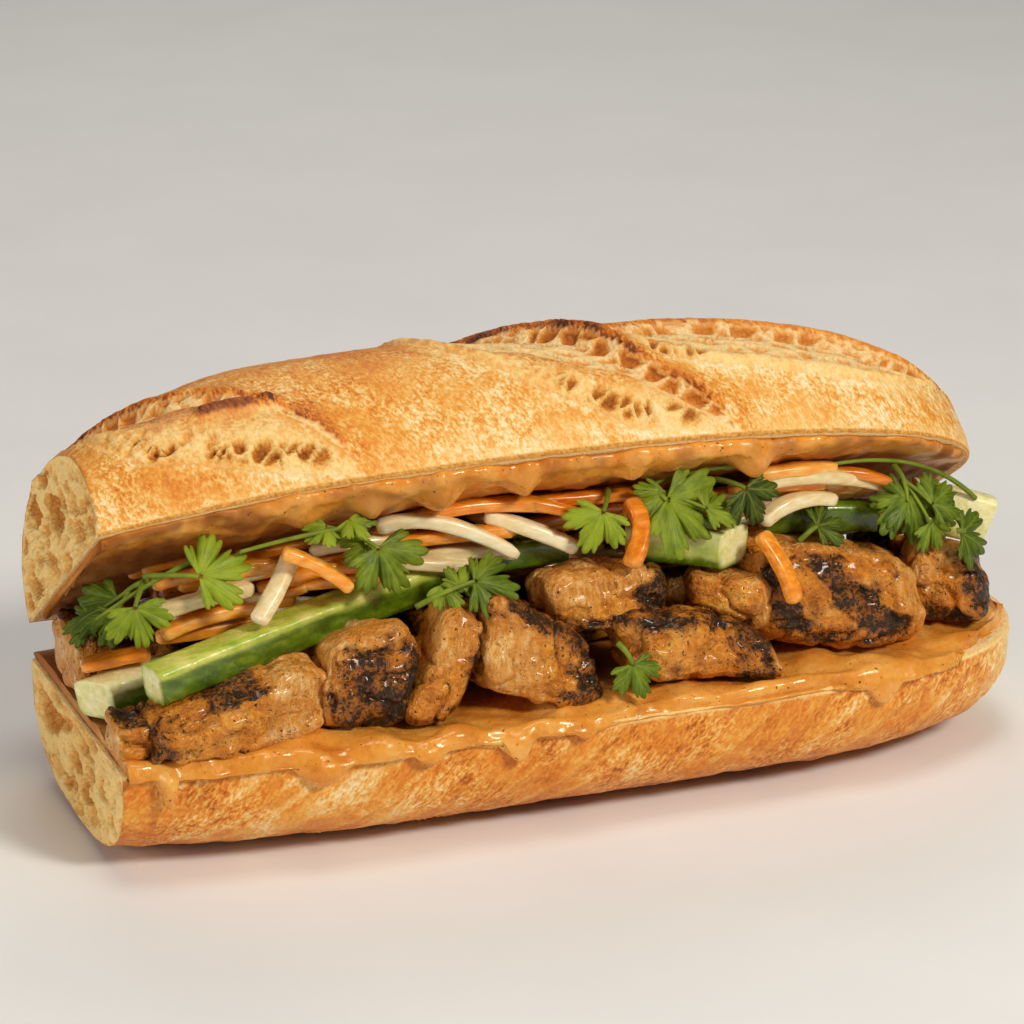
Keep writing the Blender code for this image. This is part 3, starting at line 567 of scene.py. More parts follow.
def smooth_line(knots, count=60):
    """A smooth line of (x, arc) points through knots of (x, degrees)."""
    points = np.array([(x, degrees * ARC_PER_DEGREE) for x, degrees in knots], float)
    ends = np.vstack([2 * points[0] - points[1], points, 2 * points[-1] - points[-2]])
    spread = np.linspace(0, len(points) - 1, count)
    index = np.minimum(spread.astype(int), len(points) - 2)
    t = (spread - index)[:, None]
    return smooth_curve(*(ends[index + k] for k in range(4)), t)


def line_distance(places, line):
    """Distance in mm from each (x, arc) place to a line."""
    best = np.full(len(places), 1e9)
    for start, end in zip(line[:-1], line[1:]):
        run = end - start
        share = np.clip(((places - start) @ run) / max(run @ run, 1e-9), 0, 1)
        best = np.minimum(best, np.hypot(*(places - start - share[:, None] * run).T))
    return best


def within(places, line, other):
    """Which (x, arc) places lie between two lines that meet at both ends."""
    outline = np.vstack([line, other[::-1]])
    inside = np.zeros(len(places), bool)
    for (x0, a0), (x1, a1) in zip(outline, np.roll(outline, -1, axis=0)):
        spans = (a0 > places[:, 1]) != (a1 > places[:, 1])
        crossing = (x1 - x0) * (places[:, 1] - a0) / (a1 - a0 if a1 != a0 else 1e-9) + x0
        inside ^= spans & (places[:, 0] < crossing)
    return inside


def slash_wall(slash, to_ear, to_foot, room, cells):
    """The brown hollow wall under an ear: its relief in mm, its amber mask, and its mask of painted
    shade, darker in the cells and up under the ear.
    """
    up_wall = 1 - np.clip(to_ear / np.maximum(to_ear + to_foot, 0.1), 0, 1)
    sink = slash["depth"] * room * up_wall ** 1.1 * step_up(to_ear, 0.0, 3.4)
    amber = 0.08 + 0.34 * cells + (0.16 + 0.34 * slash["burn"] * cells) * up_wall ** 2
    # The third value is painted shade: darker in the wall's cells and up under the ear.
    return -sink - 1.3 * cells * room, np.clip(amber, 0, 1), 0.5 * cells + 0.3 * up_wall


def slash_bulge(slash, seed, x, places, low, to_low, to_foot, room, ragged, broad):
    """The swollen side below the wall: its relief in mm, and its crumb mask, its mask of painted shade
    in the holes, and its bake mask.
    """
    across = np.clip(to_low / np.maximum(to_low + to_foot, 0.1), 0, 1)
    run = (low[-1] - low[0]) / np.hypot(*(low[-1] - low[0]))
    along = places @ run
    over = places @ np.array((-run[1], run[0]))
    web_places = np.stack([along, over * 0.52 + 0.5 * ragged, np.full(len(places), 0.4)], -1)
    web, web_second, web_tag = cell_noise(web_places, 3.1, seed)
    gaps = step_up(web_second - web, 0.05, 0.30)
    first, last = slash["holed"]
    holed = step_up(x, first - 5, first + 3) * (1 - step_up(x, last - 3, last + 5))
    band = hill(to_low - 3.8, 3.7) ** 0.7 * room * holed
    holes = gaps * band * step_up(0.93 - web_tag, 0.0, 0.12)
    strands = (1 - gaps) * step_up(to_low, 0.5, 2.0) * (1 - step_up(across, 0.35, 0.9))
    middle = (first + last) / 2
    torn_open = step_up(x, middle - 4, middle + 12)
    grain = np.stack([along, over * 0.22, over * 0], -1)
    fibres = 1 - np.abs(smooth_noise(grain, 1.7, seed + 6))
    swell = slash["swell"] * np.sin(np.pi * across) ** 0.7 + 0.25 * broad + 0.45 * strands
    swell += 0.5 * torn_open * (fibres - 0.72)
    relief = swell * room - 1.9 * holes - 0.5 * np.exp(-(to_low / 0.7) ** 2)
    crumb = 0.06 + 0.50 * strands + 0.42 * broad + 0.30 * (1 - across)
    crumb += torn_open * (0.30 + 0.9 * (fibres - 0.72))
    bake = 0.24 + 0.14 * broad - 0.16 * (1 - across) - 0.22 * strands - 0.16 * torn_open
    # The third value is painted shade in the holes.
    return relief, np.clip(crumb + 1.2 * holes, 0.12, 1), 0.9 * holes, bake


def slash_rim(slash, to_ear, to_low, inside, room):
    """The crust round a slash: how far it stands up in mm, and how much browner it is, from real burn
    and from painted shade along the ear's overhanging edge.
    """
    above = ~inside & (to_ear < to_low)
    below = ~inside & (to_low <= to_ear)
    lip = slash["lip"] * step_up(to_ear, 0.0, 1.0) * np.exp(-(to_ear / 3.6) ** 1.4) * room
    fold = 0.5 * np.exp(-to_low / 0.9) * room
    # Darker along the ear's edge: partly real burn, partly painted shade of the ear's overhanging lip.
    burnt_and_shaded = slash["burn"] * (0.50 * np.exp(-to_ear / 1.6) + 0.14 * np.exp(-to_ear / 7.0))
    floury = 0.06 * np.exp(-to_low / 5.0) - 0.34 * np.exp(-to_low / slash["streak"])
    return np.where(above, lip, 0) + np.where(below, fold, 0), np.where(above, burnt_and_shaded, floury)


def slash_fields(points, places):
    """Relief in mm and the crumb, amber, painted shade and bake masks that the slashes give the crust.
    """
    torn = np.stack([rough_noise(points, 5.0, 31), rough_noise(points, 5.0, 37)], -1)
    ragged = torn[:, 0]
    places = places + 0.9 * torn
    relief, crumb, amber, pit_shade, bake = (np.zeros(len(points)) for _ in range(5))
    nearest, second, _ = cell_noise(points * (0.9, 1.2, 1.2), 5.4, 41)
    wall_cells = step_up(second - nearest, 0.05, 0.26)
    broad = rough_noise(points, 9.0, 43)
    for index, slash in enumerate(SLASHES):
        ear, foot, low = (smooth_line(slash[key]) for key in ("ear", "foot", "low"))
        to_ear, to_foot, to_low = (line_distance(places, line) for line in (ear, foot, low))
        inside = within(places, ear, low)
        in_wall = within(places, ear, foot) & inside
        room = step_up(to_ear + to_low, 1.0, 9.0)
        cells = wall_cells * step_up(to_foot, 0.0, 2.0)
        wall_relief, wall_amber, wall_pit_shade = slash_wall(slash, to_ear, to_foot, room, cells)
        bulge_relief, bulge_crumb, bulge_pit_shade, bulge_bake = slash_bulge(
            slash, 53 + index, points[:, 0], places, low, to_low, to_foot, room, ragged, broad)
        rim_relief, rim_bake = slash_rim(slash, to_ear, to_low, inside, room)
        relief = np.where(inside, np.where(in_wall, wall_relief, bulge_relief), relief)
        relief += rim_relief
        crumb = np.where(inside, np.where(in_wall, 1.0, bulge_crumb), crumb)
        amber = np.where(inside, np.where(in_wall, wall_amber, 0.0), amber)
        pit_shade = np.where(inside, np.where(in_wall, wall_pit_shade, bulge_pit_shade), pit_shade)
        bake = np.where(inside, bulge_bake, bake + rim_bake * (0.75 + 0.6 * ragged) * room)
    stand = np.exp(-(line_distance(places, smooth_line(TONGUE, 4)) / 1.9) ** 2)
    relief += 2.6 * stand
    crumb *= 1 - step_up(stand, 0.25, 0.6)
    bake += 0.30 * step_up(stand, 0.25, 0.7)
    return relief, crumb, amber, pit_shade, bake


def crust_relief(points):
    """The fine wrinkles and blisters of a baked crust, in mm."""
    blisters = 1 - np.abs(smooth_noise(points * (1.0, 0.8, 0.55), 2.3, 61))
    slanted = points * (1.0, 0.6, 0.4) + points[:, [2]] * (0.35, 0, 0)
    wrinkles = 1 - np.abs(smooth_noise(slanted, 4.2, 67))
    lumps = rough_noise(points, 22.0, 71)
    return 0.24 * (blisters - 0.5) + 0.26 * (wrinkles - 0.5) + 0.55 * lumps


def crust_bake(points):
    """How brown a plain crust is, from 0 for pale flour to 1 for dark."""
    return (0.47 + 0.12 * rough_noise(points * (1.0, 0.8, 0.6), 24.0, 73)
            + 0.06 * rough_noise(points * (1.0, 0.8, 0.5), 7.0, 79))


def end_crumb(points, holes):
    """How deep the cut end's crumb is pitted, in mm, and a mask of painted shade that darkens the
    deeper pits.
    """
    depth = np.zeros(len(points))
    flat = points[:, 1:]
    ragged = 0.25 * rough_noise(points, 3.0, 83)
    for y, z, radius in holes:
        away = np.hypot((flat[:, 0] - y) * 0.62, (flat[:, 1] - z) * 1.15) / radius + ragged
        depth = np.maximum(depth, 1.1 * radius * np.sqrt(np.clip(1 - away ** 2, 0, 1)))
    for size, share, seed in ((5.2, 0.55, 89), (2.9, 0.75, 97)):
        nearest, second, tag = cell_noise(points * (0.3, 0.62, 1.1), size, seed)
        pore = step_up(second - nearest, 0.08, 0.42) * (tag < share)
        depth = np.maximum(depth, 0.52 * size * pore * (0.4 + 0.6 * tag / share))
    depth += 0.35 * rough_noise(points, 1.7, 101) + 0.5 * smooth_noise(points, 14.0, 103)
    # Painted shade: the mask grows with the pits' depth.
    return depth, np.clip(depth / 1.7, 0, 1) ** 1.1


def close_end(rim, holes, rings, centre):
    """The crumb of the cut end: points on shrinking rings, with their pits and their mask of painted
    shade.
    """
    layers = cap_rings(rim, centre, rings)
    points = np.vstack(layers + [centre[None, :]])
    depth, pit_shade = end_crumb(points, holes)
    from_rim = np.concatenate([np.full(len(rim), k + 1.0) for k in range(len(layers))] + [[rings]])
    points[:, 0] += depth * np.clip(from_rim / 3, 0, 1)
    return points, pit_shade


def fan_faces(last_ring, centre, count):
    """Triangles from a ring of points to its centre."""
    here = last_ring + np.arange(count)
    return np.stack([here, last_ring + (np.arange(count) + 1) % count, np.full(count, centre)], -1)


def facing_out(points, quads, tris):
    """A closed mesh's quads and triangles, all turned so that they face outward."""
    turned = outward(points, quads)
    return [turned, tris if turned is quads else tris[:, ::-1]]


def make_bread_half(name, grid, masks, holes, material):
    """Skin a half of the loaf over rows of rings, with crumb on its cut end."""
    rows, count = grid.shape[:2]
    cap, pit_shade = close_end(grid[0], holes, END_RINGS, grid[0].mean(0))
    points = np.vstack([grid.reshape(-1, 3), cap, grid[-1].mean(0)[None, :]])
    first = rows * count
    layers = (len(cap) - 1) // count
    here = np.arange(count)
    after = (here + 1) % count
    quads = np.vstack([
        ring_faces(rows, count),
        np.stack([first + here, first + after, after, here], -1),
        ring_faces(layers, count, first)[:, ::-1],
    ])
    tris = np.vstack([
        fan_faces(first + (layers - 1) * count, first + len(cap) - 1, count)[:, ::-1],
        fan_faces((rows - 1) * count, len(points) - 1, count),
    ])
    rest = np.zeros(len(cap) + 1)
    whole = {key: np.concatenate([values.ravel(), rest]) for key, values in masks.items()}
    whole["crumb"][first:-1] = 1.0
    # Painted shade in the end's pits, at half strength.
    whole["pit_shade"][first:-1] = 0.50 * pit_shade
    whole["amber"][first:-1] = 0.05
    face_sets = facing_out(points, quads, tris)
    return new_piece(name, points, face_sets, material, whole, [name])


def with_cut_face(skin_masks, shape, face_points, face_shape, amber, seed):
    """The masks of a half's skin, widened by those of its cut face."""
    # Painted shade: noise darkens the cut face's crumb as if in its pores.
    pore_shade = 0.5 + 0.5 * rough_noise(face_points, 2.2, seed)
    face_masks = {"crumb": 1.0, "pit_shade": pore_shade * 0.6, "amber": amber, "bake": 0.4}
    masks = {}
    for key, values in skin_masks.items():
        face = np.broadcast_to(face_masks[key], len(face_points)).reshape(face_shape)
        masks[key] = np.concatenate([values.reshape(shape), face], axis=1)
    return masks


def make_bread_top(material):
    s = stations(LOAF_STATIONS)
    w = half_width(s, TOP_HEEL)
    end_drop = 1 - DOME_END_DROP * np.maximum(0.0, 1 - s / 0.2) ** 2
    height = DOME_HEIGHT * fullness(s, TOP_HEEL, 1.0) * end_drop
    angle = even_angles(DOME_LANES, HALF_WIDTH, DOME_HEIGHT, DOME_SQUARENESS)
    across = -w[:, None] * signed_power(np.cos(angle), 2 / DOME_SQUARENESS)
    above = height[:, None] * np.abs(np.sin(angle)) ** (2 / DOME_SQUARENESS)
    dome = in_top_half(s[:, None], across, above)
    middle = in_top_half(s, np.zeros(len(s)), height * 0.3)
    normal = grid_normals(dome, middle)
    points = dome.reshape(-1, 3)
    degrees = np.degrees(np.broadcast_to(angle, across.shape)).ravel()
    places = np.stack([points[:, 0], degrees * ARC_PER_DEGREE], -1)
    relief, crumb, amber, pit_shade, bake = slash_fields(points, places)
    step = np.pi * HALF_WIDTH * 0.95 / DOME_LANES
    from_edge = np.minimum(np.arange(DOME_LANES), np.arange(DOME_LANES)[::-1]) * step
    from_edge = np.broadcast_to(from_edge, across.shape).ravel()
    plain = 1 - crumb
    relief += crust_relief(points) * (0.35 + 0.65 * plain)
    relief *= step_up(from_edge, 0.0, 2.6)
    bake += crust_bake(points)
    bake += 0.10 * step_up(degrees, 25, 75) - 0.08 * (1 - step_up(from_edge, 1, 12))
    bake -= 0.06 * step_up(points[:, 0], -60, -10) * (1 - step_up(degrees, 20, 60))
    cut = 1 - step_up(from_edge + 0.6 * rough_noise(points, 2.5, 107), 0.9, 1.4)
    crumb = np.maximum(crumb, cut)
    # Painted shade along the crumb of the cut rim.
    pit_shade = np.maximum(pit_shade, 0.45 * cut)
    taper = np.minimum(1.0, w / 14.0)[:, None]
    dome = dome + normal * relief.reshape(across.shape)[:, :, None] * taper[:, :, None]
    lanes = np.linspace(0, 1, CUT_LANES + 2)[1:-1]
    under_across = w[:, None] * (1 - 2 * lanes)
    under = in_top_half(s[:, None], under_across, np.zeros_like(under_across))
    rough = 0.25 * rough_noise(under.reshape(-1, 3), 3.0, 109).reshape(under_across.shape)
    under[:, :, 2] += rough * (w / HALF_WIDTH)[:, None] ** 2 * np.sin(np.pi * lanes)
    grid = np.concatenate([dome, under], axis=1)
    skin_masks = {"crumb": crumb, "pit_shade": pit_shade, "amber": amber, "bake": bake}
    masks = with_cut_face(
        skin_masks, across.shape, under.reshape(-1, 3), under_across.shape, 0.3, 113)
    return make_bread_half("bread_top", grid, masks, TOP_END_HOLES, material)


def make_bread_bottom(material):
    s = stations(LOAF_STATIONS)
    w = half_width(s, BOTTOM_HEEL)
    depth = (BASE_HEIGHT + BASE_FOOT) * fullness(s, BOTTOM_HEEL, 0.5)
    angle = even_angles(BASE_LANES, HALF_WIDTH, BASE_HEIGHT, BASE_SQUARENESS)
    y = w[:, None] * signed_power(np.cos(angle), 2 / BASE_SQUARENESS)
    z = BASE_HEIGHT - depth[:, None] * np.abs(np.sin(angle)) ** (2 / BASE_SQUARENESS)
    x = np.broadcast_to((LOAF_LEFT + s * BOTTOM_LENGTH)[:, None], y.shape)
    skin = np.stack([x, y, np.maximum(z, 0.0)], -1)
    middle = np.stack([x[:, 0], np.zeros(len(s)), np.full(len(s), BASE_HEIGHT * 0.6)], -1)
    normal = grid_normals(skin, middle)
    points = skin.reshape(-1, 3)
    creases = 1 - np.abs(smooth_noise(
        np.stack([points[:, 0] - 1.3 * points[:, 2], points[:, 2] * 0.3 + points[:, 1] * 0.3,
                  points[:, 1] * 0.2], -1), 6.4, 127))
    relief = crust_relief(points) + 0.35 * (step_up(creases, 0.7, 1.0) - 0.3)
    relief *= step_up(points[:, 2], 0.0, 3.0) * step_up(BASE_HEIGHT - points[:, 2], 0.0, 2.2)
    flour = step_up(points[:, 0], 96.0, 112.0)
    bake = crust_bake(points) + 0.11 - 0.16 * step_up(creases, 0.84, 0.99) - 0.30 * flour
    # Painted shade: the crust darkens towards the floor.
    bake += 0.14 * (1 - step_up(points[:, 2], 1.0, 9.0))
    rough_height = points[:, 2] + 0.5 * rough_noise(points, 2.5, 107)
    top_cut = step_up(rough_height, BASE_HEIGHT - 1.3, BASE_HEIGHT - 0.8)
    taper = np.minimum(1.0, w / 14.0)[:, None, None]
    skin = skin + normal * relief.reshape(y.shape)[:, :, None] * taper
    skin[:, :, 2] = np.maximum(skin[:, :, 2], 0.0)
    lanes = np.linspace(0, 1, CUT_LANES + 2)[1:-1]
    over_y = -w[:, None] * (1 - 2 * lanes)
    over_x = np.broadcast_to(x[:, :1], over_y.shape)
    over = np.stack([over_x, over_y, np.full(over_y.shape, BASE_HEIGHT)], -1)
    over_points = over.reshape(-1, 3)
    rough = 0.22 * rough_noise(over_points, 2.4, 131).reshape(over_y.shape)
    over[:, :, 2] += rough * np.sin(np.pi * lanes) ** 0.5
    grid = np.concatenate([skin, over], axis=1)
    none = np.zeros(len(points))
    skin_masks = {"crumb": top_cut, "pit_shade": none, "amber": none, "bake": bake}
    masks = with_cut_face(skin_masks, y.shape, over_points, over_y.shape, 0.25, 137)
    return make_bread_half("bread_bottom", grid, masks, BOTTOM_END_HOLES, material)


# Sauce

def drip_length(x):
    """How far the bottom sauce runs down the front crust at each x."""
    points = np.stack([x, np.full(len(x), 3.7), np.zeros(len(x))], -1)
    length = 0.9 + 0.5 * smooth_noise(points, 9.0, 139)
    for middle, reach, drop in DRIPS:
        length = np.maximum(length, drop * hill(x - middle, reach) ** 0.6)
    return np.maximum(length, 0.5)


def rounded_ring(corners, count):
    """Rings through rows of corners (rows, corners, 2), rounded by a closed smooth curve."""
    total = corners.shape[1]
    spread = np.linspace(0, total, count, endpoint=False)
    index = spread.astype(int)
    t = (spread - index)[None, :, None]
    return smooth_curve(*(corners[:, (index + k) % total] for k in (-1, 0, 1, 2)), t)


def make_sauce_bottom(material):
    s = np.maximum(stations(SAUCE_BOTTOM_STATIONS, last=0.985), 0.004)
    x = LOAF_LEFT + s * BOTTOM_LENGTH
    w = half_width(s, BOTTOM_HEEL)
    floor = BASE_HEIGHT - 0.25
    top = BASE_HEIGHT + CLEARANCE + SAUCE_THICKNESS
    drop = drip_length(x)
    bead = 0.5 + 0.5 * smooth_noise(np.stack([x, x * 0 + 9.1, x * 0], -1), 7.5, 149)
    bare = np.zeros(len(x))
    for start, end, back in BARE_RIMS:
        reached = step_up(x, start - 4, start + 4) * (1 - step_up(x, end - 4, end + 4))
        bare = np.maximum(bare, back * reached)
    swell = 0.5 + 0.5 * smooth_noise(np.stack([x, x * 0 + 2.2, x * 0], -1), 11.0, 145)
    bare = np.minimum(bare, 0.35 * w)
    hang = 0.5 + (0.8 + 0.9 * swell + 0.26 * drop) * (1 - step_up(bare, 0.3, 1.2))
    front = -w + bare + 0.5 * smooth_noise(np.stack([x, x * 0, x * 0 + 5], -1), 5.0, 151)
    drop = 0.3 + drop * (1 - step_up(bare, 0.2, 1.0))
    corners = np.stack([np.stack(pair, -1) for pair in (
        (w * 0.93, x * 0 + floor),
        (w * 0.92, x * 0 + top - 0.5),
        (w * 0.60, x * 0 + top),
        (x * 0, x * 0 + top),
        (-w * 0.60, x * 0 + top),
        (front + w * 0.1, x * 0 + top),
        (front - 0.1, top + 1.3 * bead - 0.7),
        (front - 0.8 * hang, floor + 0.8 + x * 0),
        (front - hang, floor - 0.35 * drop),
        (front - 0.9 * hang, floor - 0.8 * drop),
        (front - 0.55 * hang, floor - drop),
        (front - 0.3, floor - 0.85 * drop),
        (front - 0.3, x * 0 + floor),
        (-w * 0.5, x * 0 + floor),
    )], axis=1)
    section = rounded_ring(corners, SAUCE_BOTTOM_LANES)
    along = np.broadcast_to(x[:, None, None], section.shape[:2] + (1,))
    grid = np.concatenate([along, section], axis=2)
    middle = np.stack([x, -w * 0.75, x * 0 + floor + 0.6], -1)
    normal = grid_normals(grid, middle)
    points = grid.reshape(-1, 3)
    near_front = 1 - step_up(points[:, 1] + np.repeat(w, grid.shape[1]), 8.0, 18.0)
    pools = smooth_noise(points * (0.8, 1.0, 1.0), 7.5, 157)
    lumps = (1.0 + 1.1 * near_front) * pools + 0.50 * smooth_noise(points, 3.6, 163)
    lumps = np.maximum(lumps, -1.1)
    upper = step_up(points[:, 2], floor - 6.0, floor + 1.5).reshape(grid.shape[:2])
    behind = step_up(grid[:, :, 1], -8.0, 6.0)
    lift = lumps.reshape(grid.shape[:2]) * upper * (1 - 0.7 * behind)
    lift = np.where(normal[:, :, 2] < -0.3, np.minimum(lift, 0.0), lift)
    grid = grid + normal * lift[:, :, None]
    front_reach = grid[:, :, 1] + w[:, None]
    # Painted shade: the sauce darkens further in from its front, under the loaf and behind the
    # fillings.
    painted_shade = step_up(front_reach, 15.0, 30.0)
    return close_tube("sauce_bottom", grid, material, {"painted_shade": painted_shade}, ["sauce_bottom"])


def close_tube(name, grid, material, masks, replaces):
    """A piece from rows of closed rings, each end closed by a fan round its middle."""
    rows, count = grid.shape[:2]
    points = np.vstack([grid.reshape(-1, 3), grid[0].mean(0)[None, :], grid[-1].mean(0)[None, :]])
    tris = np.vstack([
        fan_faces(0, rows * count, count)[:, ::-1],
        fan_faces((rows - 1) * count, rows * count + 1, count),
    ])
    masks = {
        key: np.concatenate([v.ravel(), v[0].mean(keepdims=True), v[-1].mean(keepdims=True)])
        for key, v in masks.items()
    }
    face_sets = facing_out(points, ring_faces(rows, count), tris)
    return new_piece(name, points, face_sets, material, masks, replaces)


def sauce_hang(x, across):
    flat = np.stack([x, across, np.zeros_like(x)], -1).reshape(-1, 3)
    hang = 2.6 + 1.1 * smooth_noise(flat, 11.0, 167).reshape(x.shape)
    for middle, side, reach, drop in LUMPS:
        hang = hang + drop * hill(np.hypot(x - middle, across - side), reach)
    hang = hang + 0.8 * rough_noise(flat, 6.0, 173).reshape(x.shape)
    hang = hang + 0.45 * smooth_noise(flat, 2.8, 179).reshape(x.shape)
    at_left = 1 - step_up(x, -80.0, -50.0)
    hang = hang + 1.1 * rough_noise(flat, 4.0, 183).reshape(x.shape) * at_left
    thin = 0.5 * step_up(x, 48.0, 78.0) + 0.30 * (1 - step_up(x, -98.0, -72.0))
    return np.maximum(hang * (1 - thin), 0.6)


def make_sauce_top(material):
    s = np.maximum(stations(SAUCE_TOP_STATIONS, last=0.975), 0.006)
    w = half_width(s, TOP_HEEL)
    hidden_lanes = np.linspace(0, SAUCE_TOP_LANES - 1, SAUCE_HIDDEN_LANES).astype(int)
    line = np.stack([s * TOP_LENGTH, s * 0, s * 0], -1)
    ragged = 1.1 * smooth_noise(line, 8.0, 181) + 0.7 * smooth_noise(line, 2.6, 182)
    front = -w + SAUCE_SETBACK + ragged
    back = w - SAUCE_BACK_SETBACK
    share = np.linspace(0, 1, SAUCE_TOP_LANES) ** 1.35
    across = front[:, None] + (back - front)[:, None] * share
    x = np.broadcast_to((LOAF_LEFT + s * TOP_LENGTH)[:, None], across.shape)
    from_front = across - front[:, None]
    from_edge = np.minimum(from_front, back[:, None] - across)
    edge = 0.3 + 0.7 * np.sqrt(np.clip(from_edge / 1.8, 0, 1))
    unseen = across[:, hidden_lanes]
    upper = in_top_half(s[:, None], unseen, np.full(unseen.shape, 0.3))
    lower = in_top_half(s[:, None], across, -CLEARANCE - edge * sauce_hang(x, across))
    grid = np.concatenate([upper, lower[:, ::-1]], axis=1)
    flat = np.stack([x, across, np.zeros_like(x)], -1).reshape(-1, 3)
    patches = step_up(rough_noise(flat, 8.0, 187).reshape(x.shape), 0.0, 0.5)
    ends = np.maximum(step_up(x, 52.0, 84.0), 1 - step_up(x, -86.0, -56.0))
    # Painted shade that deepens away from the front edge and towards the loaf's ends, with noise
    # patches of darker brown.
    deep = step_up(from_front, 5.0, 22.0) + patches * (0.55 + 0.45 * ends) + 0.25 * ends
    painted_shade = np.concatenate([np.zeros(unseen.shape), np.clip(deep, 0, 1)[:, ::-1]], axis=1)
    return close_tube("sauce_top", grid, material, {"painted_shade": painted_shade}, ["sauce_top"])


# Chicken

def block_points(centre, size, turn, rise, pulls, cuts):
    """A rounded block of meat: its own coordinates from -1 to 1, its points and its faces."""
    bm = bmesh.new()
    bmesh.ops.create_cube(bm, size=2.0)
    bmesh.ops.subdivide_edges(bm, edges=bm.edges, cuts=cuts - 1, use_grid_fill=True)
    own = np.array([tuple(vertex.co) for vertex in bm.verts])
    quads = np.array([[vertex.index for vertex in face.verts] for face in bm.faces])
    bm.free()
    own = own / (np.abs(own) ** FLESH_SQUARENESS).sum(1)[:, None] ** (1 / FLESH_SQUARENESS)
    own[:, 2] = -1 + (own[:, 2] + 1) * (1 + rise * own[:, 0])
    grain = Vector((centre[0] * 0.37, centre[1] * 0.53, 5.0))
    lump = np.array([1 + 0.07 * noise.noise(Vector(p) * 1.7 + grain) for p in own])
    local = own * np.array(size) / 2 * lump[:, None] * FLESH_SWELL
    turning = np.array(Euler([math.radians(angle) for angle in turn]).to_matrix())
    points = local @ turning.T + np.array(centre)
    for *signs, dx, dy, dz in pulls:
        weight = np.ones(len(own))
        for axis, sign in enumerate(signs):
            if sign:
                weight *= np.clip(0.5 + 0.5 * sign * own[:, axis], 0, 1) ** 1.3
        points += weight[:, None] * (dx, dy, dz)
    return own, points, quads


def point_normals(points, quads):
    """Unit normals at the points of a closed mesh of quads."""
    a, b, c, d = (points[quads[:, k]] for k in range(4))
    face_normal = np.cross(c - a, d - b)
    normal = np.zeros_like(points)
    for k in range(4):
        np.add.at(normal, quads[:, k], face_normal)
    return normal / np.maximum(np.linalg.norm(normal, axis=1, keepdims=True), 1e-9)


def side_mask(own, sides, softness):
    mask = np.zeros(len(own))
    for x, y, z, start in sides:
        facing = own @ np.array((x, y, z), float)
        mask = np.maximum(mask, step_up(facing, start - softness, start + softness))
    return mask


def make_chicken(name, centre, size, turn, rise, material):
    cuts = CHICKEN_CUTS if size[0] > SMALL_CHICKEN else SMALL_CHICKEN_CUTS
    if name.startswith("chicken_back"):
        cuts = HIDDEN_CHICKEN_CUTS
    own, points, quads = block_points(centre, size, turn, rise, PULLS.get(name, ()), cuts)
    quads = outward(points, quads)
    sway = np.stack([rough_noise(points, 11.0, 201 + k, 2) for k in range(3)], -1)
    points = points + 1.5 * sway
    normal = point_normals(points, quads)
    pale_sides, char_sides, char_share = GRILLING.get(name, PLAIN_GRILLING)
    seed = sum(map(ord, name))
    wander = 0.10 * rough_noise(points, 4.0, seed)
    pale = side_mask(own + wander[:, None], pale_sides, 0.09)
    pale *= 0.35 + 0.65 * step_up(rough_noise(points, 6.5, seed + 17, 2), -0.45, 0.25)
    seared = side_mask(own + wander[:, None], char_sides, 0.22)
    lumps = rough_noise(points, 7.0, seed + 3)
    folds = 1 - np.abs(rough_noise(points, 5.0, seed + 5))
    crease = np.exp(-(rough_noise(points * (1, 1, 1.3), 9.0, seed + 15, 2) / 0.09) ** 2)
    fine = rough_noise(points, 2.2, seed + 7)
    fibres = smooth_noise(points * (1.2, 1.2, 0.3), 2.2, seed + 9)
    crusty = rough_noise(points, 1.5, seed + 19, 2)
    relief = 0.8 * lumps + (1 - pale) * (1.0 * (folds - 0.72) + 0.42 * fine + 0.26 * crusty)
    relief += pale * (0.34 * fibres + 0.10 * crusty)
    relief -= crease * (1.3 - 0.7 * pale)
    crag = rough_noise(points, 3.2, seed + 11)
    char_and_crease_shade = char_share + 0.34 * seared + 0.30 * crag + 0.22 * rough_noise(points, 7.0, seed + 13)
    # The creases get a touch darker: painted shade, on top of the char.
    char_and_crease_shade += 0.22 * (folds - 0.7) + 0.10 * fine + 0.10 * crease
    edges = np.sort(np.abs(own), axis=1)[:, 1]
    char_and_crease_shade += 0.20 * step_up(edges, 0.74, 0.92) - 0.58 * pale + 0.06
    if name == "chicken_front_8":
        stripes = np.sin(own[:, 0] * 6.4 + own[:, 2] * 2.2 + 2.5 * lumps)
        char_and_crease_shade += 0.28 * step_up(stripes, -0.2, 0.5) - 0.20
    relief -= 0.35 * step_up(char_and_crease_shade, 0.62, 0.9)
    points = points + normal * relief[:, None]
    points[:, 2] = np.maximum(points[:, 2], REST_HEIGHT - 0.25)
    masks = {"char_and_crease_shade": step_up(char_and_crease_shade, 0.30, 1.05), "pale": pale}
    return new_piece(name, points, [quads], material, masks, [name])


# Strips, batons and stems

def curve_points(route, steps):
    """Points and directions of a smooth curve through the ends and middle of a route."""
    start, middle, end = (np.array(point, float) for point in route)
    bow = middle * 2 - (start + end) / 2
    t = np.linspace(0, 1, steps)[:, None]
    points = start * (1 - t) ** 2 + bow * 2 * t * (1 - t) + end * t ** 2
    ahead = np.gradient(points, axis=0)
    return points, ahead / np.linalg.norm(ahead, axis=1, keepdims=True)


